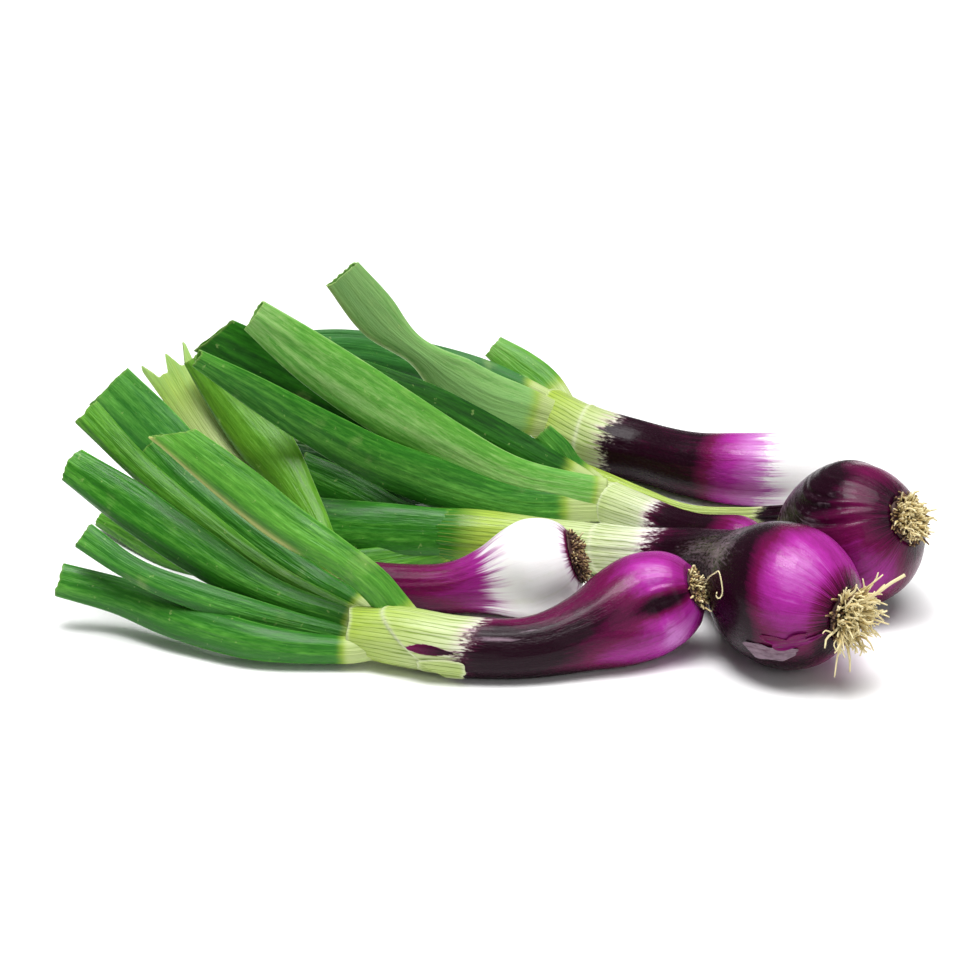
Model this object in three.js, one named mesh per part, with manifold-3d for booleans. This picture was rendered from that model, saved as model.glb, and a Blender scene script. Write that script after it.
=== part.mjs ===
// A bunch of six red spring onions, lying in a loose pile as cut:
// bulbs towards +X, leaves fanned out towards -X.
// Millimetres, +Z up, origin on the table under the middle of the pile.
// Each onion is a shoot (bulb, neck and leaf sheath grown in one), a tuft of roots and hollow leaves.

import * as THREE from "three";
import { mergeVertices } from "three/addons/utils/BufferGeometryUtils.js";
import Module from "manifold-3d";

const wasm = await Module();
wasm.setup();

// How finely the shapes are cut.
const SHOOT_SIDES = 16;
const SHOOT_RINGS = 18;
const LEAF_SIDES = 10;
const LEAF_STEP = 13;
const STRAND_SIDES = 3;

// Leaves are hollow tubes pressed nearly flat.
const LEAF_WALL = 0.7;
const MOUTH_DEPTH = 7;
const TIP_THICKNESS = 2.6;

// Clearance between pieces that touch on the real plant.
const GAP = 0.42;

// Roots.
const STRAND_RADIUS = 0.55;
const PLATE_THICKNESS = 2.2;

// The onions are laid out from a point of the table near the middle of the pile.
// This puts the origin right under that middle.
const PILE_MIDDLE = [1.6, 12.4, 0];

const TOWARDS_FRONT = [0, -0.9, 0.45];

const COLOURS = {
  purpleSkin: 0x7a1f5c,
  whiteSkin: 0xd9c4d3,
  leaf: 0x3f8f35,
  roots: 0xb99f68,
};

// Shoot routes run from the root plate, through the bulb and the neck, to the top of the sheath.
// Girth rows are [share of the route, half width, half thickness].
// A leaf route starts inside its sheath and ends at the cut tip; widths are spaced evenly along it.
const ONIONS = [
  {
    name: "front_onion",
    skin: "purpleSkin",
    route: [
      [64.6, -60, 22.5], [51, -57.5, 16.2], [32, -67, 11.5], [12, -74, 9], [-9, -74, 9.3],
      [-28, -70, 10.5], [-44, -66, 11],
    ],
    girth: [
      [0, 8.4, 8.4], [0.025, 12, 11.8], [0.07, 15, 14.5], [0.15, 16.8, 16.3], [0.24, 15.6, 15.2],
      [0.36, 11.8, 11.6], [0.5, 9.6, 9.6], [0.7, 9.6, 9.2], [0.86, 9.8, 8.4], [1, 8.4, 5.6],
    ],
    groove: { depth: 0.18, angle: 84, spread: 20, centre: 18, reach: 15 },
    roots: { strands: 8, length: 1, radius: 6.2, lean: 80, strays: [] },
    leaves: [
      {
        widths: [8, 10, 12, 13, 12, 11],
        thick: 8,
        mouth: 5,
        route: [
          [-36, -70, 7], [-48, -70, 6], [-74, -68, 8], [-99, -57, 10], [-119, -46, 13],
          [-139, -42, 17],
        ],
      },
      {
        widths: [6, 7, 9, 9, 8, 9],
        thick: 4,
        route: [
          [-37, -65, 6.5], [-49, -62, 8], [-78, -60, 14.7], [-102, -56, 21.6], [-116, -50, 26],
          [-130.5, -42, 33],
        ],
      },
      {
        widths: [7, 8, 10, 14, 15, 15, 12],
        thick: 6,
        mouth: 5,
        route: [
          [-35, -63, 8.5], [-48, -58, 12], [-64, -54, 15.6], [-80, -49, 21], [-99, -42, 31],
          [-118, -33, 41], [-136, -24, 50],
        ],
      },
      {
        widths: [5, 6, 7, 8, 8.5, 10],
        thick: 5,
        route: [
          [-35, -62, 11], [-50, -54, 14.2], [-68, -45, 19.8], [-87, -34, 29.2], [-111, -22, 44.8],
          [-132, -10, 62.5],
        ],
      },
      {
        widths: [6, 8, 9, 10, 11, 10],
        thick: 5,
        route: [
          [-34, -59, 11], [-47, -48, 14], [-58, -40, 17], [-78, -30, 27.3], [-98, -18, 39.4],
          [-112, -8, 49.8],
        ],
      },
      {
        widths: [11, 11, 11, 13, 14, 13, 11],
        thick: 5,
        slant: 5,
        route: [
          [-25, -67, 12], [-31, -64, 19], [-38, -62, 26.6], [-50, -58, 34.5], [-64, -52, 41.4],
          [-82, -46, 54], [-101, -40, 67.5],
        ],
      },
    ],
  },
  {
    name: "white_onion",
    skin: "whiteSkin",
    route: [
      [27.6, -32.2, 20.4], [15, -31, 15.7], [0, -30, 11], [-16, -30, 8], [-33, -27, 7.4],
      [-50, -24, 8],
    ],
    girth: [
      [0, 9, 9], [0.03, 12.4, 12.4], [0.08, 15, 15], [0.17, 16.6, 16.6], [0.27, 14.8, 14.8],
      [0.38, 11, 11], [0.5, 8.6, 8.6], [0.7, 7.6, 7.6], [0.9, 7.4, 6.4], [1, 6.6, 5],
    ],
    roots: { strands: 12, length: 2.2, radius: 7.4, lean: 65, strays: [] },
    leaves: [
      {
        widths: [7, 8, 12, 18, 15, 8],
        thick: 4.5,
        route: [
          [-42, -23, 9.5], [-53, -16, 16.1], [-60, -4, 23.7], [-71, 10, 36], [-86, 22, 50],
          [-101, 31, 66],
        ],
      },
      {
        widths: [6, 9, 12, 13, 18],
        thick: 4,
        route: [[-43, -22, 7.5], [-64, -6, 14.3], [-85, 14, 31], [-98, 26, 43], [-113, 42, 62.5]],
      },
      {
        widths: [6, 9, 13, 18, 18],
        thick: 5,
        route: [
          [-43, -22, 5.5], [-67, -8, 13.4], [-91, 1, 29], [-110.5, 10.5, 44.5], [-128.5, 18, 60.5],
        ],
      },
    ],
  },
  {
    name: "big_onion",
    skin: "purpleSkin",
    route: [
      [109.5, -81, 24], [94, -66, 22.6], [82, -41, 19], [70, -18, 13.5], [52, -7, 9.5],
      [24, 2, 8.6], [-7, 6, 10], [-20, 8, 10.5],
    ],
    girth: [
      [0, 9, 9], [0.02, 14.5, 14.5], [0.05, 19, 19], [0.09, 22, 22], [0.13, 23, 23],
      [0.19, 21.8, 21.8], [0.26, 17.2, 17.2], [0.33, 12.8, 12.8], [0.42, 10, 10], [0.55, 8.9, 8.9],
      [0.75, 9.2, 8.6], [0.92, 9.8, 7.6], [1, 8.8, 6],
    ],
    roots: { strands: 18, length: 8, radius: 7.4, lean: 85, strays: [[215, 50, 17]] },
    leaves: [
      {
        widths: [16, 19, 20, 19, 16],
        thick: 9,
        mouth: 5,
        route: [[-10, 6, 11], [-31, 7, 11.4], [-55, 11, 11], [-79, 17, 11.5], [-97, 24, 14]],
      },
      {
        widths: [8, 11, 12, 9, 5],
        thick: 4,
        route: [[-11, 4, 7], [-31, 2, 3.4], [-64, -6, 3], [-102, 0, 3], [-137, 33, 4]],
      },
      {
        widths: [8, 10, 13, 12],
        thick: 4.5,
        route: [[-10, 10, 12], [-31, 20, 11.6], [-48, 28, 17], [-67, 36, 22.6]],
      },
    ],
  },
  {
    name: "right_onion",
    skin: "purpleSkin",
    route: [
      [134, -36, 35.5], [119, -22, 24], [111, 6, 16], [103, 29, 7.2], [88, 35, 4], [70, 38, 3.5],
      [53, 48, 4.2], [29, 62, 7], [14, 67, 9],
    ],
    girth: [
      [0, 9, 8.5], [0.02, 14.5, 14], [0.05, 20, 19], [0.09, 23, 22], [0.135, 24.4, 23],
      [0.2, 22.4, 21], [0.26, 16, 15], [0.32, 9.4, 9.4], [0.38, 5.4, 5.4], [0.45, 3.7, 3.7],
      [0.62, 3.4, 3.4], [0.8, 5.4, 5], [0.93, 7, 5.6], [1, 6.4, 4.6],
    ],
    roots: { strands: 18, length: 5, radius: 7.4, lean: 80, strays: [] },
    leaves: [
      {
        widths: [7, 13, 18, 17, 15],
        thick: 5,
        slant: 4,
        route: [[20, 65, 10], [-7, 58, 20.5], [-35, 48, 36], [-65, 38, 55.5], [-94, 30, 74]],
      },
      {
        widths: [6, 12, 18, 16],
        thick: 5,
        route: [[19, 62, 7], [-8, 56, 6.5], [-40, 53, 11], [-76, 54, 19.5]],
      },
    ],
  },
  {
    name: "slim_onion",
    skin: "purpleSkin",
    route: [[95, -2, 9], [85, 2, 9.1], [69, 17, 6.8], [54, 29, 7], [39, 38, 9], [31, 40, 11]],
    girth: [
      [0, 3.4, 3.4], [0.04, 6, 6], [0.1, 8.6, 8.6], [0.17, 9.5, 9.5], [0.27, 8.4, 8.4],
      [0.4, 6.8, 6.8], [0.55, 6.5, 6.5], [0.8, 7.6, 7], [1, 8, 5.4],
    ],
    roots: { strands: 7, length: 3, radius: 2.6, lean: 60, strays: [] },
    leaves: [
      {
        widths: [12, 14, 17, 19, 17.5, 11.5],
        thick: 5.5,
        route: [
          [40, 36, 12], [10, 33, 19.5], [-14, 30, 33], [-38, 27, 50.5], [-57, 24, 65.5],
          [-79, 20, 85],
        ],
      },
      {
        widths: [10, 13, 17, 16, 14, 11, 6],
        thick: 5.5,
        route: [
          [40, 35, 8], [10, 28, 11.8], [-14, 24, 20.4], [-38, 18, 33], [-60, 10, 49.4],
          [-79, 2, 65.3], [-96, -5, 79.5],
        ],
      },
      {
        widths: [8, 11, 13, 14, 13, 10],
        thick: 5,
        route: [
          [40, 40, 11], [18, 42, 22], [0, 44, 31.5], [-17, 43, 41.5], [-34, 42, 50], [-46, 41, 56],
        ],
      },
      {
        widths: [5, 8, 9, 8],
        thick: 3,
        route: [[39, 41, 14], [29, 44, 19], [24, 46, 25], [18, 48, 31]],
      },
    ],
  },
  {
    name: "back_onion",
    skin: "whiteSkin",
    route: [
      [123, 58, 13], [108, 56, 13], [89, 58, 12.4], [72, 65, 11.4], [54, 77, 11.4], [36, 83, 14.4],
      [20, 96, 18.5],
    ],
    girth: [
      [0, 6, 6], [0.025, 9.5, 9.5], [0.07, 12, 12], [0.15, 13.4, 13.4], [0.3, 13, 13],
      [0.45, 11.6, 11.6], [0.6, 11, 11], [0.8, 11.4, 10.5], [1, 10.4, 7],
    ],
    roots: { strands: 9, length: 4, radius: 4.4, lean: 70, strays: [] },
    leaves: [
      {
        widths: [13, 19, 19, 10, 16, 14],
        thick: 5,
        route: [
          [25, 89, 18], [0, 84, 28.4], [-14, 81, 38.2], [-23, 78, 47], [-37, 74, 61], [-52, 70, 82],
        ],
      },
      {
        widths: [11, 15, 14, 13, 11],
        thick: 5,
        route: [[25, 94, 20], [-7, 99, 32], [-33, 99, 40], [-53, 95, 45], [-72, 88, 48]],
      },
      {
        widths: [8, 13, 13, 9],
        thick: 5,
        route: [[30, 94, 18], [20, 104, 26], [11, 110, 31.5], [1, 115, 37.5]],
      },
    ],
  },
];

const vector = (xyz) => new THREE.Vector3(...xyz);

// A repeatable random number from 0 to 1 for each whole number asked of it.
function scatter(seed) {
  const wave = Math.sin(seed * 12.9898) * 43758.5453;
  return wave - Math.floor(wave);
}

// A smooth curve through rows of [distance, value, value]:
// a cubic whose slope at each row is that of its neighbours.
function along(rows, distance, column) {
  const last = rows.length - 1;
  const slope = (i) => {
    const [before, after] = [rows[Math.max(i - 1, 0)], rows[Math.min(i + 1, last)]];
    return (after[column] - before[column]) / (after[0] - before[0]);
  };
  const s = Math.min(Math.max(distance, rows[0][0]), rows[last][0]);
  const i = Math.min(Math.max(rows.findIndex((row) => row[0] > s) - 1, 0), last - 1);
  const k = s >= rows[last][0] ? last - 1 : i;
  const span = rows[k + 1][0] - rows[k][0];
  const t = (s - rows[k][0]) / span;
  const [a, b] = [rows[k][column], rows[k + 1][column]];
  const [m, n] = [slope(k) * span, slope(k + 1) * span];
  const reached = 3 * t ** 2 - 2 * t ** 3;
  const leaving = t ** 3 - 2 * t ** 2 + t;
  const arriving = t ** 3 - t ** 2;
  return a * (1 - reached) + b * reached + m * leaving + n * arriving;
}

function routeCurve(route) {
  return new THREE.CatmullRomCurve3(route.map(vector), false, "catmullrom", 0.5);
}

// Where the curve is at share u of its length, with its own forward, across and over directions.
function station(curve, u, face) {
  const forward = curve.getTangentAt(u);
  const across = new THREE.Vector3().crossVectors(face, forward).normalize();
  const over = new THREE.Vector3().crossVectors(forward, across);
  return { centre: curve.getPointAt(u), forward, across, over };
}

function ringPoint(place, x, y, ahead = 0) {
  return place.centre
    .clone()
    .addScaledVector(place.across, x)
    .addScaledVector(place.over, y)
    .addScaledVector(place.forward, ahead);
}

// A closed skin over a row of rings, each end closed by a fan to the middle of its ring.
function loft(rings) {
  const sides = rings[0].length;
  const positions = rings.flat();
  const faces = [];
  for (let r = 0; r + 1 < rings.length; r++) {
    for (let k = 0; k < sides; k++) {
      const [a, b] = [r * sides + k, r * sides + ((k + 1) % sides)];
      faces.push(a, b, a + sides, b, b + sides, a + sides);
    }
  }
  const ends = [
    [rings[0], 0, true],
    [rings.at(-1), (rings.length - 1) * sides, false],
  ];
  for (const [ring, start, turned] of ends) {
    const middle = positions.length;
    positions.push(ring.reduce((sum, p) => sum.add(p), new THREE.Vector3()).divideScalar(sides));
    for (let k = 0; k < sides; k++) {
      const [a, b] = [start + k, start + ((k + 1) % sides)];
      faces.push(...(turned ? [b, a, middle] : [a, b, middle]));
    }
  }
  return new THREE.BufferGeometry().setFromPoints(positions).setIndex(faces);
}

function solid(geometry) {
  const bare = geometry.clone();
  bare.deleteAttribute("normal");
  bare.deleteAttribute("uv");
  const merged = mergeVertices(bare, 1e-3);
  return new wasm.Manifold(
    new wasm.Mesh({
      numProp: 3,
      vertProperties: merged.getAttribute("position").array,
      triVerts: new Uint32Array(merged.index.array),
    }),
  );
}

function geometryOf(body) {
  const { vertProperties, triVerts } = body.getMesh();
  return new THREE.BufferGeometry()
    .setAttribute("position", new THREE.BufferAttribute(vertProperties, 3))
    .setIndex(new THREE.BufferAttribute(triVerts, 1));
}

// A cut may leave a loose scrap: the largest body is the piece.
function largest(body) {
  return body.decompose().sort((a, b) => b.volume() - a.volume())[0];
}

// Everything rests on the table, so what would dip below it is flattened there.
const TABLE = solid(new THREE.BoxGeometry(800, 800, 100).translate(0, 0, -50));

function mesh(name, body, colour, roughness) {
  const material = new THREE.MeshStandardMaterial({ color: colour, roughness, metalness: 0 });
  const placed = body.translate(PILE_MIDDLE.map((middle) => -middle));
  const made = new THREE.Mesh(geometryOf(placed), material);
  made.name = name;
  return made;
}

// The bulb, neck and sheath: rings of the girth's size, closer together round the root end.
function shootSolid({ route, girth, groove }) {
  const curve = routeCurve(route);
  const length = curve.getLength();
  const face = vector(TOWARDS_FRONT);
  const rings = [];
  for (let r = 0; r <= SHOOT_RINGS; r++) {
    const u = (r / SHOOT_RINGS) ** 1.4;
    const place = station(curve, u, face);
    const [wide, thick] = [along(girth, u, 1), along(girth, u, 2)];
    const ring = [];
    for (let k = 0; k < SHOOT_SIDES; k++) {
      const angle = (k / SHOOT_SIDES) * 2 * Math.PI;
      const share = 1 - grooveDepth(groove, angle, u * length);
      ring.push(ringPoint(place, Math.cos(angle) * wide * share, Math.sin(angle) * thick * share));
    }
    rings.push(ring);
  }
  return solid(loft(rings));
}

// How much of the radius a valley between two lobes takes away,
// fading to nothing round it and along the bulb.
function grooveDepth(groove, angle, distance) {
  if (!groove) return 0;
  const off = (THREE.MathUtils.radToDeg(angle) - groove.angle) / groove.spread;
  const away = (distance - groove.centre) / groove.reach;
  return groove.depth * Math.exp(-off * off - away * away);
}

// A leaf: a flattened tube that widens out of its sheath and ends in an open cut mouth.
// The slant draws one side of the cut further on. Grown swells it all round, for cutting clearance.
function leafSolid({ route, widths, thick, mouth = TIP_THICKNESS, slant = 0 }, grown = 0) {
  const curve = routeCurve(route);
  const length = curve.getLength();
  const steps = Math.round(length / LEAF_STEP);
  const rows = widths.map((width, i) => [i / (widths.length - 1), width / 2]);
  const rings = [];
  const addRing = (u, inset, ahead = 0) => {
    const place = station(curve, u, vector(TOWARDS_FRONT));
    const halfWide = along(rows, u, 1);
    const closing = THREE.MathUtils.smoothstep(u, 0.55, 1);
    const halfThick = THREE.MathUtils.lerp(thick, mouth, closing) / 2;
    const skew = slant * THREE.MathUtils.smoothstep(u, 0.8, 1);
    const ring = [];
    for (let k = 0; k < LEAF_SIDES; k++) {
      const angle = (k / LEAF_SIDES) * 2 * Math.PI;
      const [x, y] = [Math.cos(angle), Math.sin(angle)];
      const [wide, high] = [x * (halfWide - inset), y * (halfThick - inset)];
      ring.push(ringPoint(place, wide, high, x * skew + ahead));
    }
    rings.push(ring);
  };
  for (let r = 0; r <= steps; r++) {
    addRing(r / steps, -grown, r === 0 ? -grown : r === steps ? grown : 0);
  }
  if (grown === 0) {
    addRing(1, LEAF_WALL);
    addRing(1 - MOUTH_DEPTH / length, LEAF_WALL);
  }
  return solid(loft(rings));
}

// A root: a thin tapering strand that bends outwards from its plate.
function strandSolid(from, outward, length, bend) {
  const side = new THREE.Vector3().crossVectors(outward, bend).normalize();
  const lift = new THREE.Vector3().crossVectors(outward, side);
  const rings = [[0, 0, 1], [1, 0.12, 0.45]].map(([out, aside, share]) => {
    const centre = from
      .clone()
      .addScaledVector(outward, out * length)
      .addScaledVector(lift, aside * length);
    return Array.from({ length: STRAND_SIDES }, (_, k) => {
      const angle = (k / STRAND_SIDES) * 2 * Math.PI;
      return centre
        .clone()
        .addScaledVector(side, Math.cos(angle) * STRAND_RADIUS * share)
        .addScaledVector(lift, Math.sin(angle) * STRAND_RADIUS * share);
    });
  });
  return solid(loft(rings));
}

// The root tuft: a low round plate on the end of the bulb,
// with strands that lean further out towards its rim.
function rootsSolid({ route, roots }, seed) {
  const place = station(routeCurve(route), 0, vector(TOWARDS_FRONT));
  const away = place.forward.clone().negate();
  const profile = [
    new THREE.Vector2(0, GAP),
    new THREE.Vector2(roots.radius, GAP),
    new THREE.Vector2(roots.radius * 0.9, GAP + PLATE_THICKNESS / 2),
    new THREE.Vector2(0, GAP + PLATE_THICKNESS),
  ];
  const plate = new THREE.LatheGeometry(profile, 10);
  const turn = new THREE.Quaternion().setFromUnitVectors(new THREE.Vector3(0, 1, 0), away);
  plate.applyQuaternion(turn).translate(...place.centre.toArray());
  let body = solid(plate);
  const addStrand = (angle, lean, spread, length) => {
    const radial = place.across
      .clone()
      .multiplyScalar(Math.cos(angle))
      .addScaledVector(place.over, Math.sin(angle));
    const outward = away
      .clone()
      .multiplyScalar(Math.cos(lean))
      .addScaledVector(radial, Math.sin(lean));
    const from = place.centre
      .clone()
      .addScaledVector(away, GAP + 0.7)
      .addScaledVector(radial, roots.radius * 0.8 * spread);
    body = body.add(strandSolid(from, outward, length, place.across));
  };
  const golden = Math.PI * (3 - Math.sqrt(5));
  for (let i = 0; i < roots.strands; i++) {
    const spread = Math.sqrt((i + 0.5) / roots.strands);
    const angle = i * golden + (scatter(seed + i) - 0.5) * 0.5;
    const share = spread * (0.75 + 0.25 * scatter(seed + 40 + i));
    const lean = THREE.MathUtils.degToRad(roots.lean) * share;
    addStrand(angle, lean, spread, roots.length * (0.65 + 0.6 * scatter(seed + 80 + i)));
  }
  roots.strays.forEach(([angle, lean, length]) => {
    const [turn, tip] = [angle, lean].map(THREE.MathUtils.degToRad);
    addStrand(turn, tip, 0.7, length);
  });
  return body;
}

const bunch = new THREE.Group();
ONIONS.forEach((onion, index) => {
  let shoot = shootSolid(onion);
  const cutters = [];
  onion.leaves.forEach((leaf, i) => {
    let blade = leafSolid(leaf);
    cutters.forEach((cutter) => {
      blade = blade.subtract(cutter);
    });
    cutters.push(leafSolid(leaf, GAP));
    blade = largest(blade.subtract(TABLE));
    bunch.add(mesh(`${onion.name}_leaf_${i + 1}`, blade, COLOURS.leaf, 0.45));
  });
  cutters.forEach((cutter) => {
    shoot = shoot.subtract(cutter);
  });
  shoot = largest(shoot.subtract(TABLE));
  bunch.add(mesh(`${onion.name}_bulb`, shoot, COLOURS[onion.skin], 0.25));
  const tuft = largest(rootsSolid(onion, 1000 * index).subtract(TABLE));
  bunch.add(mesh(`${onion.name}_roots`, tuft, COLOURS.roots, 0.9));
});

export default bunch;
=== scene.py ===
"""Looks for a bunch of six red spring onions: skins, sheaths, hollow leaves and root tufts."""

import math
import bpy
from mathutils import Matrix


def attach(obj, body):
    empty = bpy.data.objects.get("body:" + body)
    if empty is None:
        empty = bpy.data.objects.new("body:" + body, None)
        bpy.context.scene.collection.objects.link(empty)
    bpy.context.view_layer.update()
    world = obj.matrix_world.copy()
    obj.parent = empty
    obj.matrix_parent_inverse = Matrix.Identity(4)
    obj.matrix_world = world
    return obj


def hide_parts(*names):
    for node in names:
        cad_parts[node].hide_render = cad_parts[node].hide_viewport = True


bl_info = {
    "name": "Spring onion bunch",
    "version": (1, 0, 0),
    "blender": (4, 2, 0),
    "location": "3D View > Sidebar > Onions",
    "description": "Builds the skins, leaves, roots and stage of a bunch of red spring onions",
    "category": "Object",
}

import bpy
import numpy as np
from bpy.props import FloatProperty, FloatVectorProperty, IntProperty, PointerProperty
from mathutils import Vector

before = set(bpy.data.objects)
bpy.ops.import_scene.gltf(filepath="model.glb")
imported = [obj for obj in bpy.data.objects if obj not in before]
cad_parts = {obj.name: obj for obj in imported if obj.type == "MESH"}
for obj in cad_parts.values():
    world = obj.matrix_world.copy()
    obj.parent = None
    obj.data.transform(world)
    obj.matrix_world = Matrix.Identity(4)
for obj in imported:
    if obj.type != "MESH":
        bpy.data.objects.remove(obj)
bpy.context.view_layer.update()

MM = 0.001
TURN = 2 * math.pi
GOLDEN_ANGLE = math.pi * (3 - math.sqrt(5))

# The table below is in millimetres; this point of it is the frame's origin.
PILE_MIDDLE = np.array([1.6, 12.4, 0.0])
# Roughly the way to the camera: rings take their angles from it.
TOWARDS_FRONT = np.array([0.0, -0.9, 0.45])
# No point of a mesh lies lower than this.
LOWEST = 0.02

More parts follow.
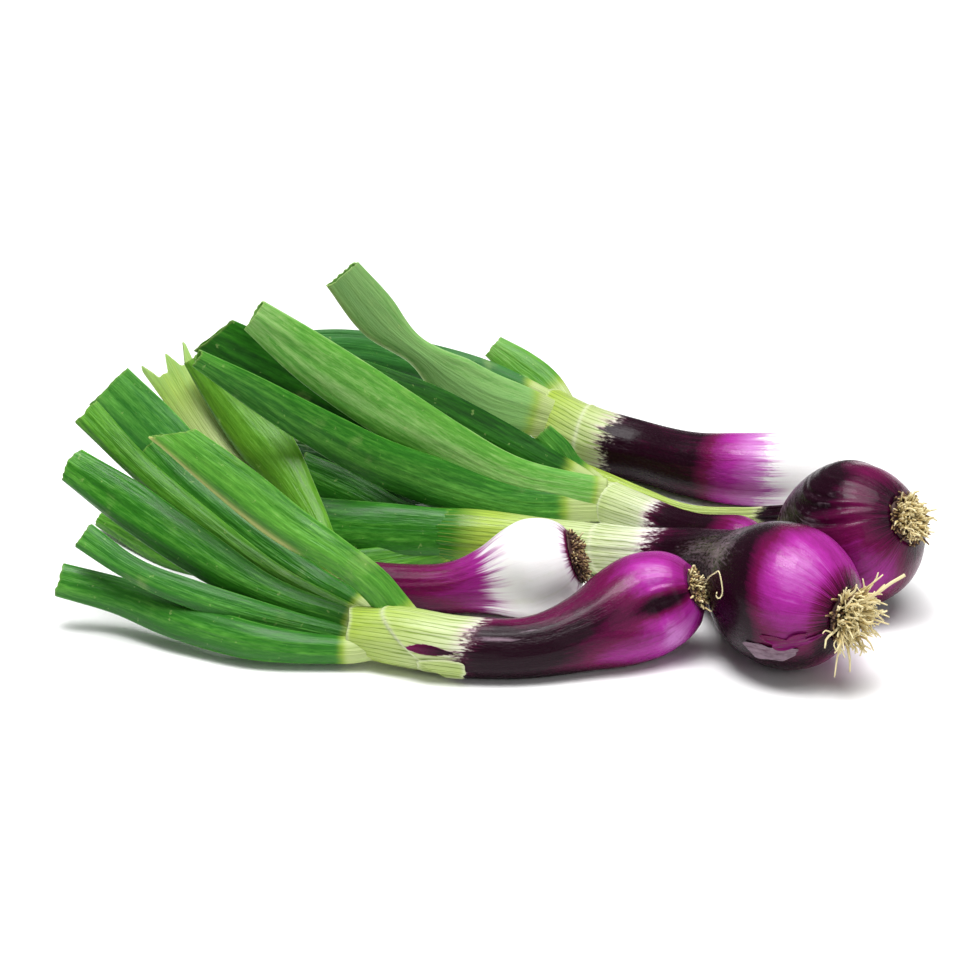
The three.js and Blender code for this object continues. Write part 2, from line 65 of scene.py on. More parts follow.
# Routes run from the root end, through bulb and neck, to the top of the sheath.
# Girth rows are [share of the route, half width, half thickness].
# Skin rows are [distance, purple, dark, green]: purple 0 to 1, dark 0 for magenta to 1 for near black,
# green 0 for white, 1 for yellow green and 2 for leaf green.
# Degrees run round a shoot: 0 below, 90 towards the camera, 180 on top.
# Patches add to one of those, or to film, which is pale dry skin in part and painted sheen in part, round a
# spot:
# [which, degrees, distance, spread in degrees, reach along, amount].
# Skew slants the rows: [degrees they reach furthest on, by how much].
# Slits are soft lenses that bare the purple below, dark at their start:
# [degrees and distance of the start, degrees and distance of the end, width in degrees].
# Creases are deeper folds round a spot: [degrees, distance, spread in degrees, reach along, depth].
# Streaks is how strongly the skin is streaked near the roots; soft is how far purple fades into white.
# Flakes are loose scraps of skin: middle and half size in degrees and distance, lift at the middle and rim.
# Collars are the rims where one sheath layer ends: [distance, lean, degrees round of its far side, step].
# Leaf widths are spaced evenly; pale is where the leaf turns from sheath colour to green.
# Mouth is how thick the cut end is, slant how far the cut leans, keel how far the blade is bent.
# Tone is [yellow, bluish bloom, lightness]; lightness is partly the leaf's own tone and partly painted shade,
# lowest for leaves deep in the pile. Side paints light on one long edge and shade on the other.
# Teeth are a torn end: [places across from -1 to 1, depth, half width of each].
# Root rows are [count, length, thickness, lean at the rim, shade, inner share, outer share, waviness].
# Loose roots are [thickness, shade, route].
ONIONS = [
    {
        "name": "front_onion",
        "slot": "purple_skin",
        "route": [[64.6, -60, 22.5], [51, -57.5, 16.2], [32, -67, 11.5], [12, -74, 9], [-9, -74, 9.3],
            [-28, -70, 10.5], [-44, -66, 11]],
        "girth": [[0, 8.4, 8.4], [0.025, 12, 11.8], [0.07, 15, 14.5], [0.15, 16.8, 16.3],
            [0.24, 15.6, 15.2], [0.36, 11.8, 11.6], [0.5, 9.6, 9.6], [0.7, 9.6, 9.2], [0.86, 9.8, 8.4],
            [1, 8.4, 5.6]],
        "groove": {"depth": 0.18, "angle": 84, "spread": 20, "centre": 18, "reach": 15},
        "skin": [[0, 1, 0.35, 0], [6, 1, 0.1, 0], [18, 1, 0.2, 0], [28, 1, 0.5, 0], [42, 1, 0.9, 0],
            [60, 1, 1, 0], [69, 1, 1, 0], [74, 0.7, 0.8, 0.2], [81, 0, 0.5, 0.45], [97, 0, 0.3, 0.8],
            [116, 0, 0.3, 1]],
        "skew": [39, 4.5],
        # The dark patch at 86 degrees is painted shade in the groove between the two lobes.
        "patches": [["dark", 35, 8, 34, 12, -0.5], ["dark", 86, 12, 13, 12, 1.2],
            ["dark", 45, 38, 26, 12, -0.35], ["dark", 125, 12, 25, 9, -0.3],
            # The film patches at 108, 122 and 118 degrees are painted highlights: a streak along the neck top
            # and flecks on the bulb.
            ["film", 108, 69, 5, 8, 1.1], ["film", 122, 57, 5, 8, 0.6], ["dark", 150, 46, 30, 16, -0.4],
            ["dark", 165, 64, 26, 10, -0.35], ["film", 118, 9, 18, 8, 0.32]],
        "slits": [[76, 79.5, 74, 96, 20]],
        "creases": [120, 9, 24, 8, 0.4],
        "collars": [[93, 12.4, 150, 0.7]],
        "flakes": [{"name": "torn_flap", "middle": [36, 84.5], "size": [25, 7], "lift": [0.3, 1.0],
            "square": 6, "ragged": 0.07, "purple": 0, "dark": 0, "green": 0.75, "film": 0}],
        "wrinkle": 0.07,
        "roots": {"radius": 6.4, "dome": 1.2,
            "rows": [[110, 1.1, 0.42, 50, 0.24, 0, 1, 0.25], [46, 1.8, 0.4, 60, 0.75, 0, 1, 0.5]],
            "loose": [[0.22, 1.3, [[65.2, -62, 26.5], [67.5, -64, 26.9], [68.2, -70, 31.5],
                [69.4, -76, 35.8], [70.4, -79, 37.6], [71.4, -80, 33.3], [71.5, -80, 30.5],
                [70.6, -80, 29], [69.7, -80, 29.9], [69.9, -80, 31.2]]]]},
        "leaves": [
            {"widths": [8, 10, 12, 13, 12, 11], "thick": 8, "mouth": 5, "pale": [7, 15],
             "tone": [0, 0.3, -0.05],
             "route": [[-36, -70, 7], [-48, -70, 6], [-74, -68, 8], [-99, -57, 10], [-119, -46, 13],
                 [-139, -42, 17]]},
            {"widths": [6, 7, 9, 9, 8, 9], "thick": 4, "pale": [6, 14], "tone": [-0.1, 0.4, 0],
             "route": [[-37, -65, 6.5], [-49, -62, 8], [-78, -60, 14.7], [-102, -56, 21.6],
                 [-116, -50, 26], [-130.5, -42, 33]]},
            {"widths": [7, 8, 10, 14, 15, 15, 12], "thick": 6, "mouth": 5, "pale": [9, 15],
             "tone": [0, 0.1, 0], "side": -0.2,
             "route": [[-35, -63, 8.5], [-48, -58, 12], [-64, -54, 15.6], [-80, -49, 21],
                 [-99, -42, 31], [-118, -33, 41], [-136, -24, 50]]},
            {"widths": [5, 6, 7, 8, 8.5, 10], "thick": 5, "pale": [8, 16], "tone": [0.35, -0.1, 0.2],
             "side": -0.25,
             "route": [[-35, -62, 11], [-50, -54, 14.2], [-68, -45, 19.8], [-87, -34, 29.2],
                 [-111, -22, 44.8], [-132, -10, 62.5]]},
            {"widths": [6, 8, 9, 10, 11, 10], "thick": 5, "pale": [8, 16], "tone": [0, 0.2, -0.2],
             "route": [[-34, -59, 11], [-47, -48, 14], [-58, -40, 17], [-78, -30, 27.3],
                 [-98, -18, 39.4], [-112, -8, 49.8]]},
            {"widths": [11, 11, 11, 13, 14, 13, 11], "thick": 5, "slant": 5, "pale": [2, 12],
             "tone": [0.25, 0.25, 0.5], "dry": 0.9, "keel": 0.1,
             "route": [[-25, -67, 12], [-31, -64, 19], [-38, -62, 26.6], [-50, -58, 34.5],
                 [-64, -52, 41.4], [-82, -46, 54], [-101, -40, 67.5]]},
        ],
    },
    {
        "name": "white_onion",
        "slot": "white_skin",
        "soft": 1,
        "route": [[27.6, -32.2, 20.4], [15, -31, 15.7], [0, -30, 11], [-16, -30, 8], [-33, -27, 7.4],
            [-50, -24, 8]],
        "girth": [[0, 9, 9], [0.03, 12.4, 12.4], [0.08, 15, 15], [0.17, 16.6, 16.6], [0.27, 14.8, 14.8],
            [0.38, 11, 11], [0.5, 8.6, 8.6], [0.7, 7.6, 7.6], [0.9, 7.4, 6.4], [1, 6.6, 5]],
        "skin": [[0, 1, 0.6, 0], [0.7, 0.4, 0.4, 0], [2, 0.04, 0.3, 0], [6, 0, 0.2, 0],
            [18, 0.04, 0, 0], [27, 0.45, 0, 0], [33, 0.95, 0.1, 0], [44, 1, 0.35, 0], [62, 1, 0.6, 0],
            [75, 0.9, 0.6, 0.1], [81, 0.4, 0.5, 0.5]],
        "patches": [["purple", 160, 3, 40, 4, 0.22], ["purple", 50, 26, 36, 8, -0.2],
            # The film patch at 118 degrees is a painted highlight along the top of the neck.
            ["dark", 20, 54, 30, 24, 0.5], ["film", 118, 60, 8, 14, 0.3]],
        "collars": [],
        "wrinkle": 0.1,
        "roots": {"radius": 8.7, "dome": 1.3,
            "rows": [[170, 1.5, 0.42, 50, 0, 0.4, 1, 0.25], [70, 1.4, 0.4, 40, 0.15, 0, 0.6, 0.3],
                [34, 1.7, 0.38, 50, 0.55, 0, 1, 0.5]]},
        "leaves": [
            {"widths": [7, 8, 12, 18, 15, 8], "thick": 4.5, "pale": [4, 16], "tone": [0.55, -0.1, 0.2],
             "keel": 0.08, "side": -0.35,
             "route": [[-42, -23, 9.5], [-53, -16, 16.1], [-60, -4, 23.7], [-71, 10, 36], [-86, 22, 50],
                 [-101, 31, 66]]},
            {"widths": [6, 9, 12, 13, 18], "thick": 4, "pale": [62, 150], "tone": [0, 0.4, 2.2],
             "teeth": [[-0.95, -0.15, 0.9], 7, 0.3],
             "route": [[-43, -22, 7.5], [-64, -6, 14.3], [-85, 14, 31], [-98, 26, 43],
                 [-113, 42, 62.5]]},
            {"widths": [6, 9, 13, 18, 18], "thick": 5, "pale": [6, 20], "tone": [0, 0.5, 0.25],
             "side": -0.2,
             "route": [[-43, -22, 5.5], [-67, -8, 13.4], [-91, 1, 29], [-110.5, 10.5, 44.5],
                 [-128.5, 18, 60.5]]},
        ],
    },
    {
        "name": "big_onion",
        "slot": "purple_skin",
        "route": [[109.5, -81, 24], [94, -66, 22.6], [82, -41, 19], [70, -18, 13.5], [52, -7, 9.5],
            [24, 2, 8.6], [-7, 6, 10], [-20, 8, 10.5]],
        "girth": [[0, 9, 9], [0.02, 14.5, 14.5], [0.05, 19, 19], [0.09, 22, 22], [0.13, 23, 23],
            [0.19, 21.8, 21.8], [0.26, 17.2, 17.2], [0.33, 12.8, 12.8], [0.42, 10, 10],
            [0.55, 8.9, 8.9], [0.75, 9.2, 8.6], [0.92, 9.8, 7.6], [1, 8.8, 6]],
        "skin": [[0, 1, 0.55, 0], [4, 1, 0.1, 0], [15, 1, 0.1, 0], [21, 1, 0.4, 0], [28, 1, 0.85, 0],
            [60, 1, 1, 0], [84, 1, 0.95, 0], [93, 0.6, 0.7, 0.1], [101, 0.05, 0.4, 0.3],
            [116, 0, 0.3, 0.45], [140, 0, 0.3, 0.8], [154, 0, 0.3, 1.05], [164, 0, 0.3, 1.85],
            [172, 0, 0.3, 2]],
        # The dark patches at 58 and 10 degrees are painted shade on the low side of the bulb, where the front
        # onion shadows it.
        "patches": [["dark", 58, 25, 45, 9, 1], ["dark", 10, 14, 34, 26, 0.75],
            # The film patches are pale dry skin in part and painted sheen in part.
            ["dark", 112, 11, 34, 8, -0.3], ["film", 160, 66, 12, 15, 0.5],
            ["film", 128, 42, 14, 8, 0.3], ["film", 92, 64, 42, 20, 0.6],
            ["film", 90, 38, 36, 12, 0.62]],
        "streaks": 1,
        "collars": [[113, 3, 120, 0.4]],
        "flakes": [{"name": "peel_flake", "middle": [30, 13], "size": [9, 6.5], "lift": [0.25, 1.0],
            "square": 2.4, "ragged": 0.2, "purple": 1, "dark": 0.9, "green": 0, "film": 0.85},
            {"name": "peel_scrap", "middle": [42, 7], "size": [7, 6], "lift": [0.2, 1.6], "square": 2.2,
            "ragged": 0.26, "purple": 1, "dark": 0.45, "green": 0, "film": 0.35}],
        "wrinkle": 0.16,
        "roots": {"radius": 8.2, "dome": 2.2,
            "rows": [[120, 1.7, 0.4, 65, 0.08, 0.7, 1.05, 0.25],
                [190, 5.9, 0.4, 72, 0.82, 0, 0.85, 0.5], [40, 5.0, 0.3, 80, 0.95, 0.2, 0.9, 0.6]],
            "loose": [[0.55, 0.85, [[109, -83, 25.5], [111.2, -84, 28.4], [113.8, -86, 30.8],
                [117.7, -88, 34.5], [121.7, -88, 37.9], [126.1, -88, 40.9]]]]},
        "leaves": [
            {"widths": [16, 19, 20, 19, 16], "thick": 9, "mouth": 5, "pale": [-1, 8],
             "tone": [-0.1, 0.2, -0.1],
             "route": [[-10, 6, 11], [-31, 7, 11.4], [-55, 11, 11], [-79, 17, 11.5], [-97, 24, 14]]},
            {"widths": [8, 11, 12, 9, 5], "thick": 4, "pale": [0, 10], "tone": [0.3, 0, 0.2],
             "route": [[-11, 4, 7], [-31, 2, 3.4], [-64, -6, 3], [-102, 0, 3], [-137, 33, 4]]},
            {"widths": [8, 10, 13, 12], "thick": 4.5, "pale": [2, 12], "tone": [0, 0.2, -0.2],
             "route": [[-10, 10, 12], [-31, 20, 11.6], [-48, 28, 17], [-67, 36, 22.6]]},
        ],
    },
    {
        "name": "right_onion",
        "slot": "purple_skin",
        "route": [[134, -36, 35.5], [119, -22, 24], [111, 6, 16], [103, 29, 7.2], [88, 35, 4],
            [70, 38, 3.5], [53, 48, 4.2], [29, 62, 7], [14, 67, 9]],
        "girth": [[0, 9, 8.5], [0.02, 14.5, 14], [0.05, 20, 19], [0.09, 23, 22], [0.135, 24.4, 23],
            [0.2, 22.4, 21], [0.26, 16, 15], [0.32, 9.4, 9.4], [0.38, 5.4, 5.4], [0.45, 3.7, 3.7],
            [0.62, 3.4, 3.4], [0.8, 5.4, 5], [0.93, 7, 5.6], [1, 6.4, 4.6]],
        "skin": [[0, 1, 0.8, 0], [7, 1, 0.45, 0], [18, 1, 0.55, 0], [28, 1, 0.95, 0], [48, 1, 1, 0],
            [83, 1, 1, 0], [88, 0.7, 1, 0.5], [93, 0.1, 0.8, 0.8], [130, 0, 0.3, 0.9], [150, 0, 0.3, 1],
            [179, 0, 0.3, 1]],
        "patches": [["dark", 45, 8, 34, 14, -0.3], ["dark", 140, 20, 34, 12, 0.6],
            # The film patches are pale dry skin in part and painted highlights on the wrinkles in part.
            ["film", 125, 12, 20, 9, 0.35], ["film", 104, 17, 6, 7, 0.45],
            ["purple", 175, 3, 22, 6, 0.2], ["film", 92, 40, 44, 16, 0.72]],
        "streaks": 0.4,
        "creases": [124, 13, 26, 11, 0.8],
        "collars": [],
        "wrinkle": 0.2,
        "roots": {"radius": 8.0, "dome": 2.0,
            "rows": [[110, 1.6, 0.4, 62, 0.1, 0.7, 1.05, 0.25], [200, 3, 0.4, 52, 0.75, 0, 0.85, 0.5],
                [20, 4, 0.3, 60, 0.9, 0.2, 0.8, 0.6]]},
        # The low lightness of these leaves is painted shade: they lie in the dark under the others.
        "leaves": [
            {"widths": [7, 13, 18, 17, 15], "thick": 5, "slant": 4, "pale": [6, 20],
             "tone": [0, -0.2, -0.8],
             "route": [[20, 65, 10], [-7, 58, 20.5], [-35, 48, 36], [-65, 38, 55.5], [-94, 30, 74]]},
            {"widths": [6, 12, 18, 16], "thick": 5, "pale": [6, 20], "tone": [0, -0.3, -1.7],
             "route": [[19, 62, 7], [-8, 56, 6.5], [-40, 53, 11], [-76, 54, 19.5]]},
        ],
    },
    {
        "name": "slim_onion",
        "slot": "purple_skin",
        "route": [[95, -2, 9], [85, 2, 9.1], [69, 17, 6.8], [54, 29, 7], [39, 38, 9], [31, 40, 11]],
        "girth": [[0, 3.4, 3.4], [0.04, 6, 6], [0.1, 8.6, 8.6], [0.17, 9.5, 9.5], [0.27, 8.4, 8.4],
            [0.4, 6.8, 6.8], [0.55, 6.5, 6.5], [0.8, 7.6, 7], [1, 8, 5.4]],
        "skin": [[0, 1, 0.5, 0], [8, 1, 0.2, 0], [16, 1, 0.5, 0], [23, 1, 1, 0], [40, 1, 0.95, 0],
            [46, 0.6, 0.7, 0.1], [52, 0.05, 0.4, 0.35], [64, 0, 0.3, 0.5], [78, 0, 0.3, 1]],
        "patches": [],
        "collars": [[66, 3, 90, 0.4]],
        "wrinkle": 0.14,
        "roots": {"radius": 3.2, "dome": 1.0,
            "rows": [[30, 1.2, 0.3, 50, 0.2, 0, 1, 0.3], [40, 2.6, 0.28, 60, 0.65, 0, 0.9, 0.5]]},
        "leaves": [
            {"widths": [12, 14, 17, 19, 17.5, 11.5], "thick": 5.5, "pale": [1, 8],
             "tone": [0.3, 0.5, 1.4], "side": 0.1,
             "route": [[40, 36, 12], [10, 33, 19.5], [-14, 30, 33], [-38, 27, 50.5], [-57, 24, 65.5],
                 [-79, 20, 85]]},
            {"widths": [10, 13, 17, 16, 14, 11, 6], "thick": 5.5, "pale": [10, 22],
             "tone": [0, 0.25, 0.25],
             "route": [[40, 35, 8], [10, 28, 11.8], [-14, 24, 20.4], [-38, 18, 33], [-60, 10, 49.4],
                 [-79, 2, 65.3], [-96, -5, 79.5]]},
            # Its low lightness is painted shade.
            {"widths": [8, 11, 13, 14, 13, 10], "thick": 5, "pale": [10, 22], "tone": [0, 0, -0.8],
             "route": [[40, 40, 11], [18, 42, 22], [0, 44, 31.5], [-17, 43, 41.5], [-34, 42, 50],
                 [-46, 41, 56]]},
            {"widths": [5, 8, 9, 8], "thick": 3, "pale": [2, 14], "tone": [0, 0.3, 0.1],
             "route": [[39, 41, 14], [29, 44, 19], [24, 46, 25], [18, 48, 31]]},
        ],
    },
    {
        "name": "back_onion",
        "slot": "white_skin",
        "soft": 0.6,
        "route": [[123, 58, 13], [108, 56, 13], [89, 58, 12.4], [72, 65, 11.4], [54, 77, 11.4],
            [36, 83, 14.4], [20, 96, 18.5]],
        "girth": [[0, 6, 6], [0.025, 9.5, 9.5], [0.07, 12, 12], [0.15, 13.4, 13.4], [0.3, 13, 13],
            [0.45, 11.6, 11.6], [0.6, 11, 11], [0.8, 11.4, 10.5], [1, 10.4, 7]],
        "skin": [[0, 0.1, 0.3, 0], [6, 0, 0.1, 0], [17, 0.03, 0, 0], [24, 0.4, -0.4, 0],
            [30, 0.9, -0.35, 0], [39, 1, 0.1, 0], [48, 1, 0.85, 0], [78, 1, 1, 0], [85, 0.6, 0.9, 0.3],
            [91, 0.05, 0.6, 0.6], [100, 0, 0.3, 0.8], [115, 0, 0.3, 1]],
        "patches": [],
        "collars": [[96, 2, 200, 0.4]],
        "wrinkle": 0.1,
        "roots": {"radius": 2.8, "dome": 0.6,
            "rows": [[50, 0.8, 0.3, 50, 0.2, 0, 1, 0.3], [24, 0.9, 0.26, 40, 0.6, 0, 0.8, 0.5]]},
        "leaves": [
            {"widths": [13, 19, 19, 10, 16, 14], "thick": 5, "pale": [6, 18], "tone": [0.3, 0.9, 2.3],
             "dry": 0.3,
             "route": [[25, 89, 18], [0, 84, 28.4], [-14, 81, 38.2], [-23, 78, 47], [-37, 74, 61],
                 [-52, 70, 82]]},
            {"widths": [11, 15, 14, 13, 11], "thick": 5, "pale": [10, 20], "tone": [-0.3, 0.8, -0.3],
             "route": [[25, 94, 20], [-7, 99, 32], [-33, 99, 40], [-53, 95, 45], [-72, 88, 48]]},
            {"widths": [8, 13, 13, 9], "thick": 5, "pale": [8, 20], "tone": [0.4, 0.4, 0.8],
             "route": [[30, 94, 18], [20, 104, 26], [11, 110, 31.5], [1, 115, 37.5]]},
        ],
    },
]


def smooth(rows, at):
    """Rows [place, value, ...] read anywhere.

    Between two rows it is a cubic, whose slope at each row is the slope from the row before to the row after.
    """
    rows = np.asarray(rows, float)
    place, values = rows[:, 0], rows[:, 1:]
    before, after = np.r_[0, : len(rows) - 1], np.r_[1 : len(rows), len(rows) - 1]
    slope = (values[after] - values[before]) / (place[after] - place[before])[:, None]
    at = np.clip(at, place[0], place[-1])
    i = np.clip(np.searchsorted(place, at, side="right") - 1, 0, len(rows) - 2)
    span = (place[i + 1] - place[i])[..., None]
    t = (at[..., None] - place[i][..., None]) / span
    start, end = 2 * t**3 - 3 * t**2 + 1, 3 * t**2 - 2 * t**3
    leave, arrive = t**3 - 2 * t**2 + t, t**3 - t**2
    return start * values[i] + end * values[i + 1] + span * (leave * slope[i] + arrive * slope[i + 1])


def linear(rows, at):
    """Rows [place, value, ...] joined by straight lines."""
    rows = np.asarray(rows, float)
    return np.stack([np.interp(at, rows[:, 0], rows[:, c]) for c in range(1, rows.shape[1])], -1)


def ease(x, low, high):
    """0 below low, 1 above high, and 3t^2 - 2t^3 between."""
    t = np.clip((x - low) / (high - low), 0, 1)
    return t * t * (3 - 2 * t)


def bell(x, width):
    """1 at 0, falling on both sides as e to the minus (x / width) squared."""
    return np.exp(-((x / width) ** 2))


def turned_by(angle, towards):
    """Degrees between an angle in radians and a direction in degrees, from -180 to 180."""
    return (np.degrees(angle) - towards + 180) % 360 - 180


def soften(rows, reach):
    """Each row becomes the mean of the rows near it, weighted by a bell of this reach in rows."""
    far = int(3 * reach)
    weights = bell(np.arange(-far, far + 1), reach)
    weights = weights / weights.sum()
    padded = np.concatenate([np.repeat(rows[:1], far, 0), rows, np.repeat(rows[-1:], far, 0)])
    return np.stack([np.convolve(column, weights, "valid") for column in padded.T], 1)


class Line:
    """A centre line: a Catmull-Rom curve through its route, cut evenly by length.

    It has three directions at each cut. Forward is the tangent, evened out over a few millimetres so that
    rings turn smoothly. Across is the front direction times forward, over is forward times across.
    """

    CUTS = 500
    STEPS_PER_SPAN = 120

    def __init__(self, route, evenness=4.0):
        p = np.asarray(route, float) - PILE_MIDDLE
        p = np.vstack([2 * p[0] - p[1], p, 2 * p[-1] - p[-2]])
        t = np.linspace(0, 1, self.STEPS_PER_SPAN)[None, :, None]
        a, b = p[1:-2, None], p[2:-1, None]
        m, n = (b - p[:-3, None]) / 2, (p[3:, None] - a) / 2
        q = a * (2 * t**3 - 3 * t**2 + 1) + b * (3 * t**2 - 2 * t**3)
        q = (q + m * (t**3 - 2 * t**2 + t) + n * (t**3 - t**2)).reshape(-1, 3)
        step = np.linalg.norm(np.diff(q, axis=0), axis=1)
        q, step = q[np.r_[True, step > 1e-9]], step[step > 1e-9]
        gone = np.r_[0, np.cumsum(step)]
        self.length = gone[-1]
        s = np.linspace(0, self.length, self.CUTS)
        centre = np.stack([np.interp(s, gone, q[:, c]) for c in range(3)], 1)
        forward = soften(np.gradient(centre, axis=0), evenness * self.CUTS / self.length)
        forward /= np.linalg.norm(forward, axis=1)[:, None]
        across = np.cross(TOWARDS_FRONT, forward)
        across /= np.linalg.norm(across, axis=1)[:, None]
        self.table = np.concatenate([centre, forward, across, np.cross(forward, across)], 1)

    def at(self, s):
        """Centre, forward, across and over at each distance; past an end the line goes straight on."""
        inside = np.clip(s, 0, self.length)
        place = inside / self.length * (self.CUTS - 1)
        i = np.minimum(place.astype(int), self.CUTS - 2)
        row = self.table[i] + (place - i)[..., None] * (self.table[i + 1] - self.table[i])
        centre, forward, across, over = row[..., :3], row[..., 3:6], row[..., 6:9], row[..., 9:]
        return centre + forward * (s - inside)[..., None], forward, across, over


def waves(rng, angle, distance, most_lobes, shortest, count):
    """Uneven relief from -1 to 1 or so: a sum of this many cosines over the root of their count.

    Each has a whole number of lobes round, a length of 1 to 4 times the shortest, and its own phase.
    """
    total = np.zeros(np.broadcast(angle, distance).shape)
    for _ in range(count):
        lobes = rng.integers(0, most_lobes + 1)
        length = shortest * (1 + 3 * rng.random())
        phase = TURN * rng.random()
        total += np.cos(lobes * angle + TURN * distance / length + phase)
    return total / math.sqrt(count)


# A slit's lens shape, the width of its soft edge in degrees, and its dark at the start and what that loses.
SLIT_POWER, SLIT_EDGE = 1.3, 4
SLIT_DARK, SLIT_DARK_LOSS = 1.0, 0.6


def skin_fields(onion, angle, distance):
    """Purple, dark, green and film at each point; film is pale dry skin in part and painted sheen in part.

    The skin rows along the shoot, slanted by the skew, with each patch added as a double bell.
    A slit's half width is half its width times the sine of pi times its share to a power, with a soft edge;
    inside it purple is 1, and dark falls evenly from its start to its end.
    """
    towards, lean = onion.get("skew", (0, 0))
    slanted = distance - lean * np.cos(np.radians(turned_by(angle, towards)))
    fields = dict(zip(("purple", "dark", "green"), np.moveaxis(linear(onion["skin"], slanted), -1, 0)))
    fields["film"] = np.zeros_like(fields["dark"])
    for which, towards, centre, spread, reach, amount in onion["patches"]:
        spot = bell(turned_by(angle, towards), spread) * bell(distance - centre, reach)
        fields[which] = fields[which] + amount * spot
    for towards, start, far_side, end, width in onion.get("slits", []):
        share = (distance - start) / (end - start)
        off = turned_by(angle, towards) - (far_side - towards) * share
        half_width = 0.5 * width * np.sin(math.pi * np.clip(share, 0, 1) ** SLIT_POWER)
        inside = np.clip(0.5 + (half_width - np.abs(off)) / SLIT_EDGE, 0, 1) * (share > 0) * (share < 1)
        fields["purple"] = np.maximum(fields["purple"], inside)
        fields["dark"] = fields["dark"] + inside * (SLIT_DARK - SLIT_DARK_LOSS * share - fields["dark"])
    fields["purple"] = np.clip(fields["purple"], 0, 1)
    return fields


# Patterns for waves: most lobes round, shortest length along, how many cosines.
RIDGES, WRINKLES, FOLDS = (9, 60, 8), (11, 30, 9), (9, 26, 6)
RIDGE_HEIGHT = 0.10
# Wrinkles grow between these shares of the shoot.
NECK_STARTS, NECK_FULL = 0.2, 0.4
# A collar's bell, this far before its line, and where its step lies from that line.
RIM_HEIGHT, RIM_BACK, RIM_REACH = 0.16, 0.4, 1.1
STEP_STARTS, STEP_ENDS = -0.15, 0.35
# Relief grows between these distances from the root end.
PLAIN_END, RELIEF_FULL = 0.5, 6


def shoot_surface(onion, line, angle, distance, proud=0.0):
    """Point on a shoot at an angle round it and a distance along it.

    The ring is an ellipse of the girth's half sizes, less the groove's double bell. To both half sizes are
    added low lengthwise ridges, wrinkles that grow from bulb to neck, folds times the creases' double bell,
    and at each collar a bell less a step. All of that fades out near the root end.
    """
    rng = np.random.default_rng(len(onion["name"]) + int(10 * onion["route"][0][0]))
    girth = smooth(onion["girth"], np.clip(distance / line.length, 0, 1))
    share = np.ones(np.broadcast(angle, distance).shape)
    groove = onion.get("groove")
    if groove:
        off = turned_by(angle, groove["angle"])
        along = distance - groove["centre"]
        share = share - groove["depth"] * bell(off, groove["spread"]) * bell(along, groove["reach"])
    relief = RIDGE_HEIGHT * waves(rng, angle, distance, *RIDGES)
    neck = ease(distance, NECK_STARTS * line.length, NECK_FULL * line.length)
    relief = relief + onion["wrinkle"] * neck * waves(rng, angle * 2, distance, *WRINKLES)
    if "creases" in onion:
        towards, middle, spread, reach, depth = onion["creases"]
        folds = depth * waves(rng, angle * 5, distance, *FOLDS)
        spot = bell(turned_by(angle, towards), spread) * bell(distance - middle, reach)
        relief = relief + folds * spot
    for place, lean, towards, step in onion["collars"]:
        past = distance - collar_line(place, lean, towards, angle)
        relief = relief + RIM_HEIGHT * bell(past + RIM_BACK, RIM_REACH)
        relief = relief - step * ease(past, STEP_STARTS, STEP_ENDS)
    relief = relief * ease(distance, PLAIN_END, RELIEF_FULL) + proud
    centre, _, across, over = line.at(distance)
    x = np.cos(angle) * (girth[..., 0] * share + relief)
    y = np.sin(angle) * (girth[..., 1] * share + relief)
    return centre + across * x[..., None] + over * y[..., None]


def collar_line(place, lean, towards, angle):
    """A slanted ring: its distance swings by the lean, furthest on the side it points to."""
    return place + lean * np.cos(np.radians(turned_by(angle, towards)))


def tube(rings):
    """Closed skin over rings (rows, sides, 3), each end closed by a fan to the middle of its ring."""
    rows, sides, _ = rings.shape
    points = np.concatenate([rings.reshape(-1, 3), rings[[0, -1]].mean(1)])
    a = np.arange(rows * sides).reshape(rows, sides)
    b = np.roll(a, -1, 1)
    quads = np.stack([a[:-1], b[:-1], b[1:], a[1:]], -1).reshape(-1, 4)
    start, end = rows * sides, rows * sides + 1
    fans = np.concatenate([
        np.stack([b[0], a[0], np.full(sides, start)], -1),
        np.stack([a[-1], b[-1], np.full(sides, end)], -1),
    ])
    return points, quads, fans


def tube_grain(share, distance, once_round=1.0):
    """A place round (0 to 1) and along (in decimetres) for every corner of a tube's faces."""
    share = np.broadcast_to(share, distance.shape)
    share = np.concatenate([share, share[:, :1] + once_round], 1)
    far = np.concatenate([distance, distance[:, :1]], 1) / 100
    both = np.stack([share, far], -1)
    quads = np.stack([both[:-1, :-1], both[:-1, 1:], both[1:, 1:], both[1:, :-1]], 2).reshape(-1, 2)
    fans = np.concatenate([
        np.stack([both[0, 1:], both[0, :-1], both[0, :-1]], 1),
        np.stack([both[-1, :-1], both[-1, 1:], both[-1, :-1]], 1),
    ]).reshape(-1, 2)
    return np.concatenate([quads, fans])


